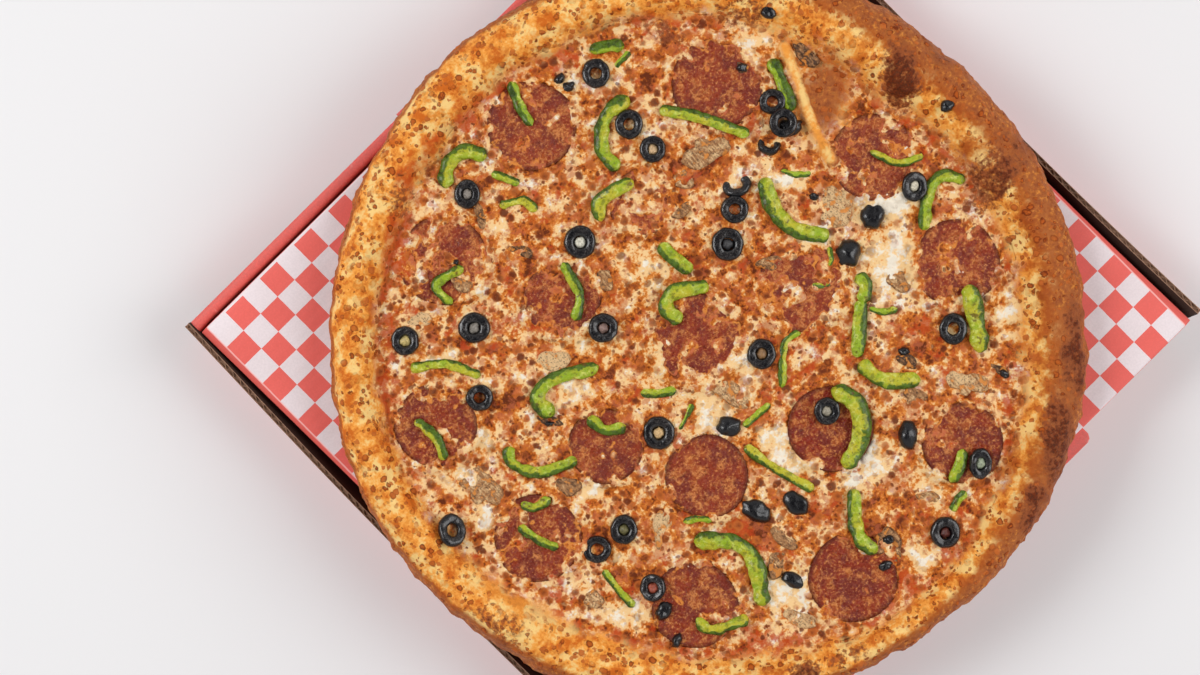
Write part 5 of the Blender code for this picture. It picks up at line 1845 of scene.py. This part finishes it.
def mushroom_finish(settings, bake):
    """Baked mushroom: pale flesh, dark dried edges and gills."""
    finish, recipe, shader = new_finish("mushroom")
    place = object_place(recipe)
    dark, edge = recipe.reading("dark"), recipe.reading("edge")
    speck = recipe.noise(place, 0.0011, 3.0, 0.7)
    cloud = recipe.noise(place, 0.0045, 3.0)
    stretched = recipe.add("ShaderNodeMapping", {"Vector": place, "Scale": (1.0, 0.25, 1.0)}).outputs[0]
    gills = recipe.noise(stretched, 0.0011, 2.0)
    tone = recipe.varied(dark, cloud, 1.5)
    tone = recipe.math("ADD", tone, recipe.ease(edge, 0.70, 1.0, 0.0, 0.12))
    tone = recipe.varied(tone, gills, 1.2)
    colour = recipe.over(settings.mushroom_pale, settings.mushroom_tan, tone, 0.10, 0.55)
    colour = recipe.over(colour, settings.mushroom_dark, tone, 0.50, 0.95)
    colour = recipe.over(colour, settings.mushroom_dark, speck, 0.36, 0.48, 0.75, 0.0)
    colour = recipe.over(colour, settings.mushroom_pale, speck, 0.58, 0.70, 0.0, 0.5)
    colour = recipe.over(colour, bake.gold, cloud, 0.56, 0.64, 0.0, 0.75)
    surfaced(recipe, shader, colour, recipe.ease(speck, 0.3, 0.7, 0.28, 0.5), 0.2)
    bumped(recipe, shader, recipe.math("ADD", speck, gills), 0.0007, 0.9)
    return finish


class PIZZA_OT_mushrooms(bpy.types.Operator):
    """Build the mushroom slices and the small dark scraps that lie about the cheese"""

    bl_idname = "pizza.build_mushrooms"
    bl_label = "Mushroom slices"

    def execute(self, context):
        finish = mushroom_finish(context.scene.pizza_toppings, context.scene.pizza_bake)
        bed = tree_of("crust_baked", "cheese_melted", "pepperoni_slices")
        parts = [self.slice(number, place, bed, finish) for number, place in enumerate(MUSHROOMS)]
        hand_over(joined("mushroom_slices", parts))
        black = bpy.data.objects["olive_slices"].active_material
        scraps = []
        for number, (across, down, wide, high, turn) in enumerate(SCRAPS + OLIVE_CAPS):
            x, y = on_view(across, down)
            way = VIEW_TURN + math.radians(turn)
            place = (x, y, top_at(bed, x, y) - SCRAP_SINK)
            sizes = (high * VIEW_STEP, wide * VIEW_STEP, 0.0018 + 0.00028 * high)
            scraps.append(pebble(f"scrap_{number:02d}", place, *sizes, way, number + 5, black))
        hand_over(joined("dark_scraps", scraps))
        return {"FINISHED"}

    def slice(self, number, place, bed, finish):
        """One slice: a cap, or a cap with its stem, curled a little."""
        across, down, wide, high, turn, dark, stem = place
        sides = 56
        angle = round_angles(sides)
        outline = 1 + 0.13 * np.sin(2 * angle + number) + 0.10 * np.sin(3 * angle + 2 * number)
        outline += 0.12 * soft_noise(angle * 0.3 + number, angle * 0, 0.16, number + 3)
        notch = 1 - stem * 0.42 * sum(np.exp(-(((angle - side) / 0.35) ** 2)) for side in (2.2, 0.9))
        section = np.array(MUSHROOM_PROFILE)
        share, upward = section[:, :1], section[:, 1:]
        a, b = share * outline * notch * wide * np.cos(angle), share * outline * notch * high * np.sin(angle)
        t = math.radians(turn)
        spots = on_view(across + a * math.cos(t) - b * math.sin(t), down + a * math.sin(t) + b * math.cos(t))
        x, y = spots[..., 0], spots[..., 1]
        middle = on_view(across, down)
        slope, level = bed_under(bed, *middle, max(wide, high) * VIEW_STEP * 0.8)
        curl = 0.0010 * np.sin(angle + number) * share ** 2 - 0.0007 * share ** 3
        wrinkle = 0.0009 * soft_noise(x, y, 0.0042, number + 12)
        wrinkle += 0.0004 * soft_noise(x, y, 0.0016, number + 13)
        z = level - MUSHROOM_SINK + (x - middle[0]) * slope[0] + (y - middle[1]) * slope[1]
        z = z + upward * MUSHROOM_HEIGHT + np.where(upward > 0.5, curl + wrinkle, 0)
        foot = (middle[0], middle[1], level - MUSHROOM_SINK)
        top = (middle[0], middle[1], z[-1].mean())
        points = shell_points(x, y, z, foot, top)
        piece = from_faces("mushroom", points, skin_faces(len(section), sides, poles=True), finish)
        edge = np.append(share * np.ones_like(x), [0, 0])
        keep_values(piece, dark=np.full(len(points), dark), edge=edge)
        return piece


def aimed(light, place, target):
    """Put a light at a place and turn it to a target."""
    light.location = place
    light.rotation_euler = (Vector(target) - Vector(place)).to_track_quat("-Z", "Y").to_euler()


class PIZZA_OT_stage(bpy.types.Operator):
    """Build the pale floor, the soft light and the camera that looks straight down"""

    bl_idname = "pizza.build_stage"
    bl_label = "Stage"

    def execute(self, context):
        settings = context.scene.pizza_stage
        scene = context.scene
        self.floor(settings)
        self.lamp("key", settings.key_power, KEY_SIZE, KEY_PLACE)
        self.lamp("fill", settings.fill_power, FILL_SIZE, FILL_PLACE)
        world = bpy.data.worlds.new("sky")
        world.use_nodes = True
        sky = world.node_tree.nodes["Background"]
        recipe = Recipe(world.node_tree)
        way = recipe.add("ShaderNodeSeparateXYZ", {0: recipe.add("ShaderNodeTexCoord").outputs["Generated"]})
        recipe.feed(sky.inputs["Color"], (1, 1, 1))
        overhead = recipe.ease(way.outputs[2], 0.50, 0.97, 1.0, 0.06)
        level = recipe.times(overhead, recipe.ease(way.outputs[2], 0.0, 0.40, 0.62, 1.0))
        recipe.feed(sky.inputs["Strength"], recipe.times(level, settings.sky))
        scene.world = world
        camera = bpy.data.cameras.new("camera")
        camera.lens = CAMERA_LENS
        camera.sensor_width = SENSOR
        seen = linked("camera", camera)
        right = Vector((-math.sin(VIEW_TURN), math.cos(VIEW_TURN), 0))
        up = Vector((-math.cos(VIEW_TURN), -math.sin(VIEW_TURN), 0))
        turn = Matrix((right, up, Vector((0, 0, 1)))).transposed()
        seen.matrix_world = Matrix.Translation(CAMERA_PLACE) @ turn.to_4x4()
        scene.camera = seen
        scene.view_settings.view_transform = "Standard"
        scene.view_settings.look = "None"
        return {"FINISHED"}

    def floor(self, settings):
        """Pale floor."""
        half = settings.floor_size / 2
        mesh = bpy.data.meshes.new("floor")
        corners = [(-half, -half, 0), (half, -half, 0), (half, half, 0), (-half, half, 0)]
        mesh.from_pydata(corners, [], [(0, 1, 2, 3)])
        floor = linked("floor", mesh)
        finish, recipe, shader = new_finish("floor")
        cloud = recipe.noise(object_place(recipe), 0.3, 2.0)
        shade = tuple(part * 0.97 for part in settings.floor_colour)
        surfaced(recipe, shader, recipe.mix(cloud, shade, settings.floor_colour), 0.6, 0.2)
        mesh.materials.append(finish)

    def lamp(self, name, power, size, place):
        """Large soft light aimed at the pizza."""
        light = bpy.data.lights.new(name, "AREA")
        light.energy = power
        light.size = size
        aimed(linked(name, light), place, LIGHT_TARGET)


class PIZZA_PT_pieces(bpy.types.Panel):
    """Lists the pieces to build and their settings"""

    bl_idname = "PIZZA_PT_pieces"
    bl_label = "Pizza on its box"
    bl_space_type = "VIEW_3D"
    bl_region_type = "UI"
    bl_category = "Pizza"

    def draw(self, context):
        for operator in OPERATORS:
            self.layout.operator(operator.bl_idname)
        for name, group in SETTINGS.items():
            column = self.layout.column()
            for key in group.__annotations__:
                column.prop(getattr(context.scene, name), key)


SETTINGS = {
    "pizza_box": PizzaBoxSettings, "pizza_bake": PizzaBakeSettings, "pizza_toppings": PizzaToppingSettings,
    "pizza_stage": PizzaStageSettings,
}
OPERATORS = (
    PIZZA_OT_tray, PIZZA_OT_lid, PIZZA_OT_crust, PIZZA_OT_cheese, PIZZA_OT_pepperoni, PIZZA_OT_olives,
    PIZZA_OT_peppers, PIZZA_OT_mushrooms, PIZZA_OT_stage,
)


def register():
    """Register the classes and keep the settings on the scene."""
    for each in (*SETTINGS.values(), *OPERATORS, PIZZA_PT_pieces):
        bpy.utils.register_class(each)
    for name, group in SETTINGS.items():
        setattr(bpy.types.Scene, name, bpy.props.PointerProperty(type=group))


def unregister():
    """Take the settings and the classes away again."""
    for name in SETTINGS:
        delattr(bpy.types.Scene, name)
    for each in reversed((*SETTINGS.values(), *OPERATORS, PIZZA_PT_pieces)):
        bpy.utils.unregister_class(each)


def main():
    """Build every piece."""
    register()
    for operator in OPERATORS:
        group, name = operator.bl_idname.split(".")
        getattr(getattr(bpy.ops, group), name)()


if __name__ == "__main__":
    main()
